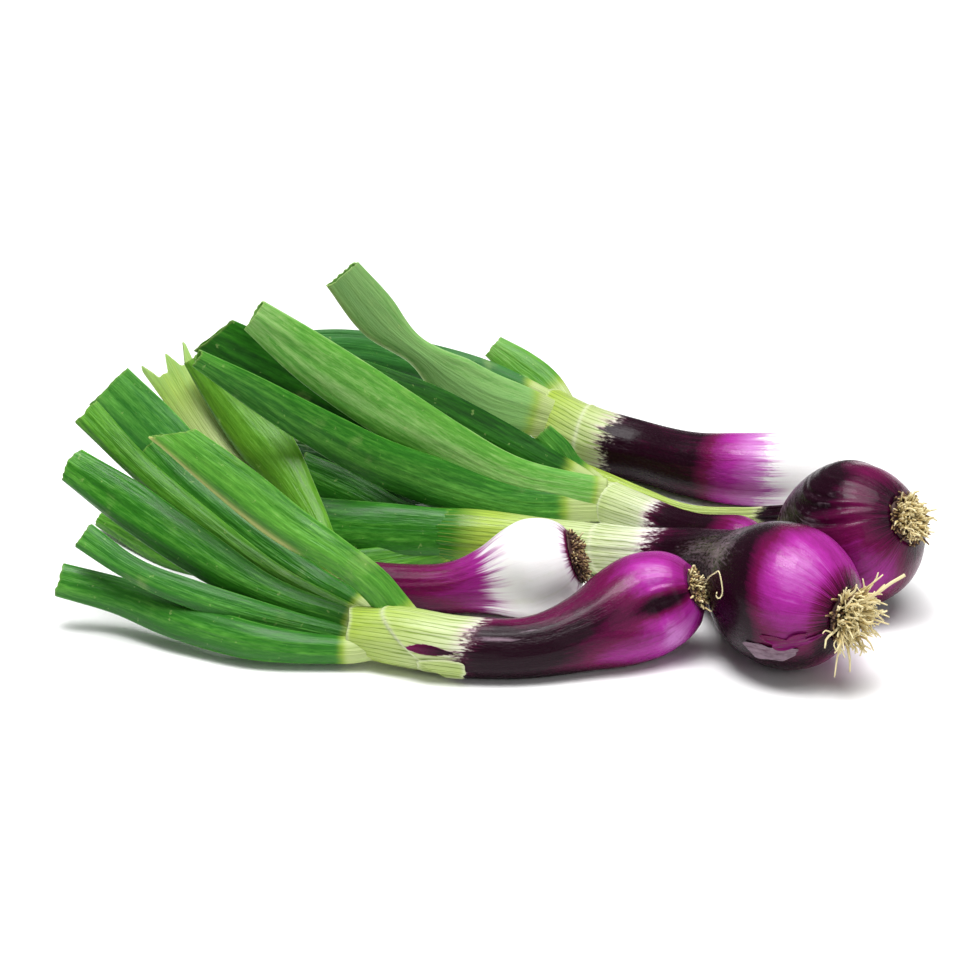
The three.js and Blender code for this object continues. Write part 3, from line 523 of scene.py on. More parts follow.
def make_piece(name, points, quads, fans, material, slot, grain=None, fields=None, node=None):
    """Puts arrays in millimetres into a mesh object at the origin, smooth, and fits it to the frame."""
    mesh = bpy.data.meshes.new(name)
    points = np.array(points, float)
    points[:, 2] = np.maximum(points[:, 2], LOWEST)
    mesh.vertices.add(len(points))
    mesh.vertices.foreach_set("co", (points * MM).astype(np.float32).ravel())
    corners = np.concatenate([quads.ravel(), fans.ravel()]).astype(np.int32)
    starts = np.concatenate([np.arange(len(quads)) * 4, len(quads) * 4 + np.arange(len(fans)) * 3])
    mesh.loops.add(len(corners))
    mesh.loops.foreach_set("vertex_index", corners)
    mesh.polygons.add(len(starts))
    mesh.polygons.foreach_set("loop_start", starts.astype(np.int32))
    mesh.update(calc_edges=True)
    mesh.polygons.foreach_set("use_smooth", np.ones(len(starts), bool))
    if grain is not None:
        mesh.uv_layers.new(name="grain").data.foreach_set("uv", grain.astype(np.float32).ravel())
    for key, values in (fields or {}).items():
        layer = mesh.attributes.new(key, "FLOAT", "POINT")
        layer.data.foreach_set("value", values.astype(np.float32).ravel())
    mesh.materials.append(material)
    piece = bpy.data.objects.new(name, mesh)
    bpy.context.scene.collection.objects.link(piece)
    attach(piece, "root")
    if node:
        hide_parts(node)


def with_poles(field):
    """A field over rings, with the values of its two end poles after it."""
    return np.concatenate([field.ravel(), field[0].mean(keepdims=True), field[-1].mean(keepdims=True)])


def make_tube(name, rings, share, far, fields, material, slot, node=None, once_round=1.0):
    """Rings made into a piece, their places round and along as grain, with a value per point in each field."""
    fields = {key: with_poles(value) for key, value in fields.items()}
    grain = tube_grain(share, far, once_round)
    make_piece(name, *tube(rings), material, slot, grain, fields, node)


def shoot_line(onion):
    """The centre line of a shoot, evened out further than a leaf's because it is thicker."""
    return Line(onion["route"], evenness=9.0)


SHOOT_SIDES, SHOOT_ROWS = 144, 210
# Rows lie closer near the roots: their distances go as this power of their number.
ROW_POWER = 1.25
# How far down the open sheath is drawn inside, in how many rows, and its wall.
SHOOT_MOUTH, MOUTH_ROWS, SHOOT_WALL = 9.0, 14, 0.8
# Rings that close the root end and the inside of a mouth, as shares of the last ring.
END_SHARES = (0.05, 0.35, 0.7, 0.93)
SHUT_SHARE = 0.05
TOP_LOBES, TOP_HEIGHT = (5, 10, 5), 0.6
RIM_PAINT = 0.8
# Between these distances the soft fade of purple into white becomes the usual streaked one.
SOFT_ENDS, HARD_STARTS = 45, 60
STREAK_REACH = 3.2


def build_shoot(onion, material):
    """A shoot as one tube: over the root end, along the outside to the top, and back down inside."""
    line = shoot_line(onion)
    rng = np.random.default_rng(int(abs(onion["route"][0][0]) * 7))
    angle = np.arange(SHOOT_SIDES) / SHOOT_SIDES * TURN
    top = line.length + TOP_HEIGHT * waves(rng, angle, np.zeros_like(angle), *TOP_LOBES)
    out = (np.linspace(0, 1, SHOOT_ROWS) ** ROW_POWER)[:, None] * top[None, :]
    outside = shoot_surface(onion, line, angle[None, :], out)
    base = shoot_surface(onion, line, angle, np.zeros(SHOOT_SIDES))
    middle = base.mean(0)
    end_rows = [middle + (base - middle) * share for share in END_SHARES]
    back = top[None, :] - np.linspace(0, SHOOT_MOUTH, MOUTH_ROWS)[:, None]
    inside = shoot_surface(onion, line, angle[None, :], back, proud=-SHOOT_WALL)
    rings = np.concatenate([end_rows, outside, inside, shut_ring(inside)])
    far = np.concatenate([np.zeros((len(END_SHARES), SHOOT_SIDES)), out, back, back[-1:]])
    fields = skin_fields(onion, angle[None, :], far)
    rim = np.zeros_like(far)
    for place, lean, towards, _ in onion["collars"]:
        rim += bell(far - collar_line(place, lean, towards, angle)[None, :], RIM_PAINT)
    fields["rim"] = rim + bell(far - top[None, :], RIM_PAINT)
    fields["soft"] = onion.get("soft", 0) * (1 - ease(far, SOFT_ENDS, HARD_STARTS))
    fields["crown"] = onion.get("streaks", 0) * bell(far, STREAK_REACH)
    name = onion["name"] + "_bulb"
    make_tube(name + "_skin", rings, angle / TURN, far, fields, material, onion["slot"], name)


def shut_ring(inside):
    """One more ring that nearly closes a tube: the last ring drawn in towards its middle."""
    middle = inside[-1].mean(0)
    return (middle + (inside[-1] - middle) * SHUT_SHARE)[None]


def there_and_back(rows):
    """Rows followed by the same rows in reverse."""
    return np.concatenate([rows, rows[::-1]])


FLAKE_SIDES, FLAKE_ROWS, FLAKE_THICK = 60, 16, 0.16
FLAKE_EDGE, FLAKE_CURL = (9, 10, 6), (5, 10, 4)
FLAKE_RIM = 0.12


def build_flake(onion, flake, material):
    """A loose scrap of skin laid on the shoot, with a ragged edge.

    Its outline is a rounded square, (cos to a power + sin to that power) to minus one over the power.
    It lifts from the middle to the rim as the distance from the middle to the fourth, unevenly.
    """
    line = shoot_line(onion)
    rng = np.random.default_rng(int(flake["middle"][1] * 9))
    turn = (np.arange(FLAKE_SIDES) / FLAKE_SIDES * TURN)[None, :]
    zero = np.zeros_like(turn)
    share = np.linspace(0.04, 1, FLAKE_ROWS)[:, None]
    power = flake["square"]
    outline = (np.abs(np.cos(turn)) ** power + np.abs(np.sin(turn)) ** power) ** (-1 / power)
    outline = outline * (1 + flake["ragged"] * waves(rng, turn, zero, *FLAKE_EDGE))
    angle = np.radians(flake["middle"][0] + flake["size"][0] * np.cos(turn) * outline * share)
    distance = flake["middle"][1] + flake["size"][1] * np.sin(turn) * outline * share
    low, high = flake["lift"]
    lift = low + (high - low) * share**4 * (0.6 + 0.4 * waves(rng, turn, zero, *FLAKE_CURL))
    top = shoot_surface(onion, line, angle, distance, proud=lift)
    under = shoot_surface(onion, line, angle, distance, proud=lift - FLAKE_THICK)
    shape = np.ones((2 * FLAKE_ROWS, FLAKE_SIDES))
    fields = {key: shape * flake[key] for key in ("purple", "dark", "green", "film")}
    fields.update(rim=there_and_back(bell(1 - share, FLAKE_RIM)) * shape, soft=0 * shape, crown=0 * shape)
    name = f"{onion['name']}_{flake['name']}"
    rings = np.concatenate([top, under[::-1]])
    turns, along = there_and_back(angle) / TURN, there_and_back(distance)
    make_tube(name, rings, turns, along, fields, material, onion["slot"], once_round=0)


LEAF_SIDES, LEAF_WALL = 72, 0.55
ROWS_PER_MM = 1.3
SWELLS, SWELL_HEIGHT = (7, 34, 9), 0.13
EDGE_WAVES, EDGE_HEIGHT = (0, 17, 5), 0.35
# One long edge takes its waves this far ahead and the other this far behind, so that they differ.
EDGE_SHIFT = 9
USUAL_MOUTH, USUAL_KEEL = 2.6, 0.05


def even_angles(sides, ratio):
    """Angles at even steps of arc round an ellipse this many times as wide as it is thick."""
    fine = np.linspace(0, TURN, 2001)
    arc = np.r_[0, np.cumsum(np.hypot(np.diff(ratio * np.cos(fine)), np.diff(np.sin(fine))))]
    return np.interp(np.arange(sides) / sides * arc[-1], arc, fine)


def leaf_surface(leaf, line, seed, angle, distance, inset=0.0):
    """Point on a leaf: an ellipse of half its width by half its thickness, with uneven swells.

    The thickness eases from the leaf's to its mouth's over the outer half. The ring is bent to a shallow
    keel, a soft V across the width, and its two long edges wave up and down.
    """
    rng = np.random.default_rng(seed)
    share = np.clip(distance / line.length, 0, 1)
    widths = leaf["widths"]
    rows = [[i / (len(widths) - 1), width / 2] for i, width in enumerate(widths)]
    half_wide = smooth(rows, share)[..., 0]
    closing = ease(share, 0.55, 1)
    half_thick = (leaf["thick"] * (1 - closing) + leaf.get("mouth", USUAL_MOUTH) * closing) / 2
    swell = SWELL_HEIGHT * waves(rng, angle, distance, *SWELLS) * ease(share, 0, 0.1)
    x = np.cos(angle) * (half_wide - inset + swell)
    y = np.sin(angle) * (half_thick - inset + swell)
    across_share = np.cos(angle)
    vee = np.sqrt(across_share**2 + 0.02) - 0.6
    y = y - leaf.get("keel", USUAL_KEEL) * half_wide * vee * ease(share, 0.1, 0.4)
    edge = across_share**4 * ease(share, 0.15, 0.5)
    shifted = distance + EDGE_SHIFT * np.sign(across_share)
    y = y + EDGE_HEIGHT * edge * waves(rng, angle * 0, shifted, *EDGE_WAVES)
    centre, _, across, over = line.at(distance)
    return centre + across * x[..., None] + over * y[..., None]


CUT_WAVES, CUT_TEARS = (3, 10, 4), (17, 10, 8)
WAVE_HEIGHT, TEAR_HEIGHT = 0.4, 0.176
# Rows just before the cut on the outside, and just inside it, keep the lip thin.
LIP_OUTSIDE = np.array([0.25, 0.06])
LIP_INSIDE = np.r_[0.0, 0.06, 0.3, np.linspace(1, 16, 12)]
DRY_SIDE, DRY_SPREAD = 18, 16


def build_leaf(onion, index, leaf, material):
    """A leaf as one tube: out along its outer face to the ragged cut, over the lip, and back down the inside.

    The cut is the leaf's length, leaning by its slant times the cosine of the angle, with low waves and small
    tears. Beside a tooth it lies deeper, by the depth times the distance from the tooth over its half width.
    """
    line = Line(leaf["route"])
    seed = sum(map(ord, onion["name"])) * 10 + index
    rng = np.random.default_rng(seed)
    ratio = max(1.2, np.mean(leaf["widths"]) / leaf["thick"])
    angle = even_angles(LEAF_SIDES, ratio)
    zero = np.zeros_like(angle)
    cut = line.length + leaf.get("slant", 0) * np.cos(angle) - WAVE_HEIGHT
    cut = cut + WAVE_HEIGHT * waves(rng, angle, zero, *CUT_WAVES)
    cut = cut + TEAR_HEIGHT * waves(rng, angle, zero, *CUT_TEARS)
    if "teeth" in leaf:
        places, depth, half_width = leaf["teeth"]
        off = np.min([np.abs(np.cos(angle) - place) for place in places], 0)
        cut = cut - depth * np.clip(off / half_width, 0, 1)
    rows = int(line.length * ROWS_PER_MM)
    out = np.linspace(0, 1, rows)[:, None] * cut[None, :]
    out = np.sort(np.concatenate([out[:-1], cut[None, :] - LIP_OUTSIDE[:, None], cut[None, :]]), 0)
    outside = leaf_surface(leaf, line, seed, angle[None, :], out)
    back = cut[None, :] - LIP_INSIDE[:, None]
    inside = leaf_surface(leaf, line, seed, angle[None, :], back, inset=LEAF_WALL)
    rings = np.concatenate([outside, inside, shut_ring(inside)])
    far = np.concatenate([out, back, back[-1:]])
    low, high = leaf["pale"]
    shape = np.ones_like(far)
    yellow, bloom, light = leaf["tone"]
    from_tip = cut[None, :] - far
    strip = bell(turned_by(angle, DRY_SIDE), DRY_SPREAD)[None, :] * ease(far, 40, 50)
    fields = {
        "pale": 1 - ease(far, low, high),
        "yellow": shape * yellow,
        "bloom": shape * bloom,
        # Lightness carries painted shade, and side paints light on one long edge and shade on the other.
        "light": shape * light + leaf.get("side", 0) * np.cos(angle)[None, :],
        # Edge is a painted highlight along both long edges.
        "edge": shape * np.abs(np.cos(angle))[None, :] ** 40 * ease(far, 12, 30),
        "tip": bell(from_tip, 9),
        "dry": 0.2 * bell(from_tip, 0.35) + leaf.get("dry", 0) * strip,
        "inner": shape * (np.arange(len(far)) >= len(out))[:, None],
    }
    name = f"{onion['name']}_leaf_{index + 1}"
    make_tube(name + "_blade", rings, np.arange(LEAF_SIDES) / LEAF_SIDES, far, fields, material, "leaf", name)


STRAND_RINGS, STRAND_SIDES, LOOSE_RINGS = 9, 5, 60
SWAY_TURNS, TAPER = 1.3, 0.45


def strands(base, heading, bend, length, thick, shade, sway):
    """Thin blunt strands, all at once.

    Each runs from its base along its heading, curls as distance squared and sways as distance times a sine.
    Its radius tapers as distance squared.
    """
    count = len(base)
    t = np.linspace(0, 1, STRAND_RINGS)[None, :, None]
    size = length[:, None, None]
    swing = t * np.sin(TURN * SWAY_TURNS * t + 9 * shade[:, None, None])
    centre = base[:, None] + (heading[:, None] * t + bend[:, None] * t**2 + sway[:, None] * swing) * size
    radius = thick[:, None, None] * (1 - TAPER * t**2)
    return sweep(centre, radius, shade)


def sweep(centre, radius, shade):
    """Round rods through rows of centres (count, rings, 3), each end closed by a fan to its middle."""
    count, rings_each, _ = centre.shape
    forward = np.gradient(centre, axis=1)
    forward /= np.linalg.norm(forward, axis=2)[..., None]
    helper = np.where(np.abs(forward[:, :1, 2:3]) < 0.8, [[[0, 0, 1.0]]], [[[1.0, 0, 0]]])
    side = np.cross(helper, forward)
    side /= np.linalg.norm(side, axis=2)[..., None]
    up = np.cross(forward, side)
    turn = (np.arange(STRAND_SIDES) / STRAND_SIDES * TURN)[None, None, :, None]
    spin = np.cos(turn) * side[:, :, None] + np.sin(turn) * up[:, :, None]
    rings = centre[:, :, None] + radius[..., None] * spin
    points = rings.reshape(-1, 3)
    a = np.arange(count * rings_each * STRAND_SIDES).reshape(count, rings_each, STRAND_SIDES)
    b = np.roll(a, -1, 2)
    quads = np.stack([a[:, :-1], b[:, :-1], b[:, 1:], a[:, 1:]], -1).reshape(-1, 4)
    tips = len(points) + np.arange(2 * count).reshape(2, count)
    points = np.concatenate([points, centre[:, 0], centre[:, -1]])
    fans = np.concatenate([
        np.stack([b[:, 0], a[:, 0], np.broadcast_to(tips[0][:, None], b[:, 0].shape)], -1).reshape(-1, 3),
        np.stack([a[:, -1], b[:, -1], np.broadcast_to(tips[1][:, None], b[:, 0].shape)], -1).reshape(-1, 3),
    ])
    ring_shape = (count, rings_each, STRAND_SIDES)
    reach = np.broadcast_to(np.linspace(0, 1, rings_each)[None, :, None], ring_shape).ravel()
    tone = np.broadcast_to(shade[:, None, None], ring_shape).ravel()
    reach = np.concatenate([reach, np.zeros(count), np.ones(count)])
    tone = np.concatenate([tone, shade, shade])
    return points, quads, fans, {"reach": reach, "shade": tone}


CROWN_ROWS, CROWN_SIDES = 12, 40
# The crown stands this far off the end of the bulb, and its dome stops short of its pole.
GAP, NEAR_POLE = 0.42, 0.97
PITS, PIT_DEPTH = (9, 5, 9), 0.25


def crown(line, radius, height):
    """A low dome of root bases on the end of the bulb.

    Its rings shrink as the cosine and rise as the sine of a quarter turn, both pitted by waves.
    """
    rng = np.random.default_rng(int(radius * 100))
    rise = np.linspace(0, 1, CROWN_ROWS)[:, None] * math.pi / 2 * NEAR_POLE
    angle = (np.arange(CROWN_SIDES) / CROWN_SIDES * TURN)[None, :]
    pits = PIT_DEPTH * waves(rng, angle * 2, rise * 9, *PITS)
    out = radius * np.cos(rise) + pits * np.cos(rise)
    away = GAP + height * np.sin(rise) + pits * np.sin(rise)
    centre, forward, across, over = line.at(np.zeros(1))
    spin = across * np.cos(-angle)[..., None] + over * np.sin(-angle)[..., None]
    return tube(centre + spin * out[..., None] - forward * away[..., None])


def build_roots(onion, material):
    """The root tuft: a pitted crown, rows of strands, and loose roots along their own routes.

    Strands stand on the crown by the golden angle at even areas, and lean further out towards the rim.
    Their turn, lean, heading, bend, length, thickness, shade and sway all vary at random.
    """
    spec = onion["roots"]
    line = shoot_line(onion)
    rng = np.random.default_rng(int(abs(onion["route"][0][0]) * 3))
    centre, forward, across, over = (v[0] for v in line.at(np.zeros(1)))
    away = -forward
    dome = crown(line, spec["radius"], spec["dome"])
    plain = np.zeros(len(dome[0]))
    parts = [(*dome, {"reach": plain, "shade": plain + 0.1})]
    for count, length, thick, lean, shade, inner, outer, sway in spec["rows"]:
        spread = np.sqrt(inner**2 + (outer**2 - inner**2) * (np.arange(count) + 0.5) / count)
        turn = np.arange(count) * GOLDEN_ANGLE + rng.normal(0, 0.3, count)
        radial = np.cos(turn)[:, None] * across + np.sin(turn)[:, None] * over
        lean = np.radians(lean) * spread * (0.6 + 0.6 * rng.random(count))
        heading = away * np.cos(lean)[:, None] + radial * np.sin(lean)[:, None]
        heading = heading + rng.normal(0, 0.22, (count, 3))
        rise = spec["dome"] * np.sqrt(np.maximum(1 - spread**2, 0))
        base = centre + away * (GAP + rise)[:, None] + radial * (spec["radius"] * 0.95 * spread)[:, None]
        bend = rng.normal(0, 0.3, (count, 3)) + np.array([0, 0, -0.1])
        lengths = length * (0.5 + 0.75 * rng.random(count))
        radii = thick * (0.7 + 0.6 * rng.random(count))
        shades = np.clip(shade + rng.normal(0, 0.13, count), 0, 1)
        swings = rng.normal(0, 0.16 * sway, (count, 3))
        parts.append(strands(base, heading, bend, lengths, radii, shades, swings))
    for thick, shade, route in spec.get("loose", []):
        strand = Line(route, evenness=0.4)
        path = strand.at(np.linspace(0, strand.length, LOOSE_RINGS))[0][None]
        parts.append(sweep(path, np.full((1, LOOSE_RINGS, 1), thick), np.array([shade])))
    fields = {key: np.concatenate([part[3][key] for part in parts]) for key in ("reach", "shade")}
    name = onion["name"] + "_roots"
    make_piece(name + "_tuft", *joined(parts), material, "roots", None, fields, name)


def joined(parts):
    """Several meshes as one: points end to end, faces renumbered to match."""
    starts = np.cumsum([0] + [len(part[0]) for part in parts])
    return [np.concatenate([part[0] for part in parts])] + [
        np.concatenate([part[k] + start for part, start in zip(parts, starts)]) for k in (1, 2)
    ]


class Level:
    """A number in a material that changes over the surface: arithmetic on it adds Math nodes."""

    def __init__(self, paint, socket):
        self.paint, self.socket = paint, socket

    def math(self, operation, *others, clamp=False):
        """A Math node with this level first and the others after it."""
        settings = {"operation": operation, "use_clamp": clamp}
        node = self.paint.add("ShaderNodeMath", settings, dict(enumerate([self, *others])))
        return Level(self.paint, node.outputs[0])

    def __add__(self, other):
        return self.math("ADD", other)

    def __sub__(self, other):
        return self.math("SUBTRACT", other)

    def __rsub__(self, other):
        return self.math("MULTIPLY_ADD", -1, other)

    def __mul__(self, other):
        return self.math("MULTIPLY", other)

    def __pow__(self, other):
        return self.math("POWER", other)

    __radd__, __rmul__ = __add__, __mul__

    def clipped(self):
        """Kept between 0 and 1."""
        return self.math("ADD", 0.0, clamp=True)

    def ease(self, low, high):
        """0 below low, 1 above high, a smooth step between."""
        settings = {"interpolation_type": "SMOOTHSTEP"}
        sockets = {"Value": self, "From Min": low, "From Max": high}
        return Level(self.paint, self.paint.add("ShaderNodeMapRange", settings, sockets).outputs["Result"])


def uneven(*parts):
    """A sum of noises, each less a half, which is its middle, times its amount."""
    return sum((noise - 0.5) * amount for noise, amount in parts)


class Paint:
    """A material, and the one way to add nodes to it."""

    def __init__(self, name, look):
        self.look = look
        self.material = bpy.data.materials.new(name)
        self.material.use_nodes = True
        self.tree = self.material.node_tree
        self.tree.nodes.clear()

    def colour(self, name):
        """One of the look's colours, opaque."""
        return (*getattr(self.look, name), 1.0)

    def add(self, kind, settings=None, sockets=None):
        """A node; a socket takes a number, a Level, another node's socket, or the name of a colour."""
        node = self.tree.nodes.new(kind)
        for key, value in (settings or {}).items():
            setattr(node, key, value)
        for key, value in (sockets or {}).items():
            if isinstance(value, Level):
                value = value.socket
            if isinstance(value, bpy.types.NodeSocket):
                self.tree.links.new(value, node.inputs[key])
            else:
                node.inputs[key].default_value = self.colour(value) if isinstance(value, str) else value
        return node

    def fields(self, names):
        """The mesh's values of these names, one Level each."""
        nodes = [self.add("ShaderNodeAttribute", {"attribute_name": name}) for name in names.split()]
        return [Level(self, node.outputs["Fac"]) for node in nodes]

    def mix(self, factor, low, high):
        """Colour low where the factor is 0 and high where it is 1."""
        settings = {"data_type": "RGBA", "clamp_factor": True}
        return self.add("ShaderNodeMix", settings, {0: factor, 6: low, 7: high}).outputs[2]

    def ramp(self, level, *stops):
        """Colours along a level, each stop a place and the name of a colour."""
        node = self.add("ShaderNodeValToRGB", None, {"Fac": level})
        marks = node.color_ramp.elements
        while len(marks) < len(stops):
            marks.new(0.5)
        for mark, (place, name) in zip(marks, stops):
            mark.position = place
            mark.color = self.colour(name)
        return node.outputs["Color"]

    def grain(self):
        """Turn round the piece in radians, and millimetres along it."""
        uv = self.add("ShaderNodeUVMap", {"uv_map": "grain"})
        split = self.add("ShaderNodeSeparateXYZ", None, {"Vector": uv.outputs["UV"]})
        return Level(self, split.outputs["X"]) * TURN, Level(self, split.outputs["Y"]) * 100

    def noise(self, place, scale, detail, roughness):
        """Noise from 0 to 1 at a place."""
        sockets = {"Vector": place, "Scale": scale, "Detail": detail, "Roughness": roughness}
        return Level(self, self.add("ShaderNodeTexNoise", None, sockets).outputs["Fac"])

    def fibres(self, turn, along, density, stretch, detail=3):
        """Noise drawn out lengthwise, with no seam: it is read on a circle whose radius is the density."""
        x, y = turn.math("COSINE") * density, turn.math("SINE") * density
        place = self.add("ShaderNodeCombineXYZ", None, {"X": x, "Y": y, "Z": along * stretch})
        return self.noise(place.outputs[0], 1.0, detail, 0.6)

    def speckle(self, scale, detail=6):
        """Noise that is even in all directions, at a scale in parts of a metre."""
        return self.noise(self.add("ShaderNodeTexCoord").outputs["Object"], scale, detail, 0.5)

    def lines(self, turn, count, noise, wander, power):
        """Lines along the piece, this many round it: a raised sine to a power, wandering with a noise."""
        return ((turn * count + (noise - 0.5) * wander).math("SINE") * 0.5 + 0.5) ** power

    def bump(self, height, distance):
        """The normal, tilted by a height that is this many metres at 1."""
        return self.add("ShaderNodeBump", None, {"Height": height, "Distance": distance}).outputs["Normal"]

    def finish(self, sockets):
        """Closes the material with a Principled shader."""
        shader = self.add("ShaderNodeBsdfPrincipled", None, sockets)
        self.add("ShaderNodeOutputMaterial", None, {"Surface": shader.outputs["BSDF"]})
        return self.material


def skin_material(look):
    """Onion skin: magenta to near black where purple, white to green elsewhere, with fibres and lines."""
    p = Paint("onion_skin", look)
    turn, along = p.grain()
    purple, dark, green, rim, soft, film, streaks = p.fields("purple dark green rim soft film crown")
    broad = p.fibres(turn, along, 1.7, 0.03)
    fibre = p.fibres(turn, along, 9, 0.035)
    fine = p.fibres(turn, along, 46, 0.09)
    mottle = p.fibres(turn, along, 14, 0.45, detail=5)
    # Where purple meets white: 1 halfway between them, 0 at both.
    unsure = purple * (1 - purple) * 4
    hard = (purple + uneven((broad, 1.3), (mottle, 1.3), (fibre, 0.7)) * unsure).ease(0.32, 0.68)
    gentle = (purple + uneven((broad, 0.8), (fibre, 2.2), (fine, 0.9)) * unsure).ease(0.08, 0.92)
    mask = hard * (1 - soft) + gentle * soft
    depth = dark * 0.72 + 0.26 + uneven((broad, 0.45), (fibre, 0.22), (fine, 0.16), (mottle, 0.22))
    depth = depth - (1 - mask) * 0.25 + streaks * (fine - 0.42) * 2
    purples = p.ramp(
        depth, (0, "skin_lilac"), (0.25, "skin_magenta"), (0.58, "skin_purple"), (0.9, "skin_dark"))
    threads = p.lines(turn, look.line_count, fibre, 14, 9)
    threads = threads * 0.35 * (1 - dark.clipped()) * fibre.ease(0.35, 0.65)
    purples = p.mix(threads, purples, "skin_purple")
    lines = p.lines(turn, look.line_count, fibre, 9, 9) * green.ease(0.05, 0.4)
    shade = green * 0.5 + uneven((fibre, 0.16), (mottle, 0.08))
    pales = p.ramp(
        shade, (0, "skin_white"), (0.2, "sheath_pale"), (0.5, "sheath_green"), (0.95, "leaf_green"))
    pales = p.mix(lines * 0.85, pales, "sheath_line")
    pales = p.mix(unsure * fibre.ease(0.4, 0.7) * 0.5, pales, "skin_lilac")
    base = p.mix(mask, pales, purples)
    # Pale dry skin and painted sheen, broken by noise, where film patches lie.
    patchy = (film + uneven((fine, 0.9), (mottle, 1.2))).ease(0.35, 1.1) * film.ease(0, 0.25)
    base = p.mix(patchy * 0.6, base, "dry_film_and_sheen")
    base = p.mix(rim.clipped() * 0.4 * (1 - mask), base, "collar")
    firm = mask * 0.6 + green.ease(0, 0.5) * 0.3 + 0.15
    relief = lines * (1 - mask) * -0.5 + (fine * 0.4 + fibre * 0.8 + mottle * 1.5) * firm
    return p.finish({
        "Base Color": base, "Normal": p.bump(relief, 0.0002),
        "Roughness": 0.28 + uneven((mottle, 0.3)) + (1 - mask) * 0.14 + patchy * 0.12,
        "Specular IOR Level": 0.1,
        "Coat Weight": 0.18 - dark.clipped() * 0.11 - film.clipped() * 0.06,
        "Coat Roughness": 0.08,
        "Subsurface Weight": 0.06, "Subsurface Radius": (1.0, 0.7, 0.6), "Subsurface Scale": 0.002,
    })


def leaf_material(look):
    """Leaf: green by tone, veins drawn along it, pale towards the sheath, dry at the cut."""
    p = Paint("onion_leaf", look)
    turn, along = p.grain()
    pale, yellow, bloom, light, tip, dry, inner, edge = p.fields("pale yellow bloom light tip dry inner edge")
    broad = p.fibres(turn, along, 1.3, 0.014, detail=2)
    fibre = p.fibres(turn, along, 3.6, 0.018, detail=2)
    fine = p.fibres(turn, along, 26, 0.03)
    mottle = p.fibres(turn, along, 5, 0.14, detail=5)
    blotch = p.fibres(turn, along, 11, 0.33, detail=4)
    ribs = p.fibres(turn, along, 3, 0.02, detail=1)
    veins = p.lines(turn, look.vein_count, fibre, 16, 2)
    # The light field brings painted shade and painted side light, and edge brings a painted highlight along
    # both long edges.
    shade = 0.4 + light * 0.26 + tip * 0.12 - veins * 0.02 + edge * 0.25
    shade = shade + uneven((broad, 0.75), (fibre, 0.2), (fine, 0.05), (mottle, 0.6), (blotch, 0.3))
    greens = p.ramp(shade, (0, "leaf_dark"), (0.42, "leaf_green"), (0.72, "leaf_light"), (1, "leaf_bright"))
    greens = p.mix((yellow + uneven((mottle, 0.5))).ease(0, 1.2) * 0.7, greens, "leaf_yellow")
    greens = p.mix(bloom.ease(0, 1.4) * (0.2 + broad * 0.5), greens, "leaf_bloom")
    specks = p.speckle(460).ease(0.66, 0.73) * 0.35
    scuffs = (p.speckle(75) + uneven((fine, 0.3))).ease(0.6, 0.78) * 0.3
    greens = p.mix(specks + scuffs, greens, "leaf_scuff")
    fade = (pale + uneven((fibre, 2.0), (fine, 1.0)) * pale * (1 - pale)).ease(0.15, 0.9)
    pales = p.mix(pale.ease(0.55, 1) * 0.6, "sheath_green", "sheath_pale")
    pales = p.mix(veins * 0.4, pales, "sheath_line")
    base = p.mix(fade, greens, pales)
    base = p.mix(inner * 0.4, base, "leaf_light")
    base = p.mix(dry.clipped() * 0.7, base, "dry_edge")
    relief = veins * 0.06 + ribs * 1.3 + mottle * 0.8
    return p.finish({
        "Base Color": base, "Normal": p.bump(relief, 0.0003),
        "Roughness": 0.36 + uneven((fine, 0.1), (mottle, 0.4)) + bloom.ease(0, 1) * 0.06,
        "Specular IOR Level": 0.2, "Coat Weight": 0.04, "Coat Roughness": 0.2,
        "Subsurface Weight": 0.06, "Subsurface Radius": (0.5, 1.0, 0.3), "Subsurface Scale": 0.0015,
    })


def root_material(look):
    """Roots: brown at the crown, straw along the strands, uneven from strand to strand."""
    p = Paint("onion_root", look)
    reach, shade = p.fields("reach shade")
    grit = p.speckle(900, detail=3)
    tone = shade + uneven((grit, 0.3)) + reach.ease(0.45, 1) * 0.3
    base = p.ramp(tone, (0, "root_dark"), (0.35, "root_brown"), (0.7, "root_straw"), (1, "root_pale"))
    base = p.mix((1 - reach.ease(0.0, 0.5)) * 0.75, base, "root_dark")
    return p.finish({"Base Color": base, "Roughness": 0.7, "Normal": p.bump(grit, 0.0002)})


def floor_material(look):
    """Plain pale floor."""
    p = Paint("pale_floor", look)
    return p.finish({"Base Color": "floor", "Roughness": 0.9, "Specular IOR Level": 0.1})


def colour(name, description, value):
    """A colour setting."""
    return FloatVectorProperty(
        name=name, description=description, subtype="COLOR", default=value, min=0, max=1)


def number(name, description, value):
    """A plain number setting."""
    return FloatProperty(name=name, description=description, default=value)


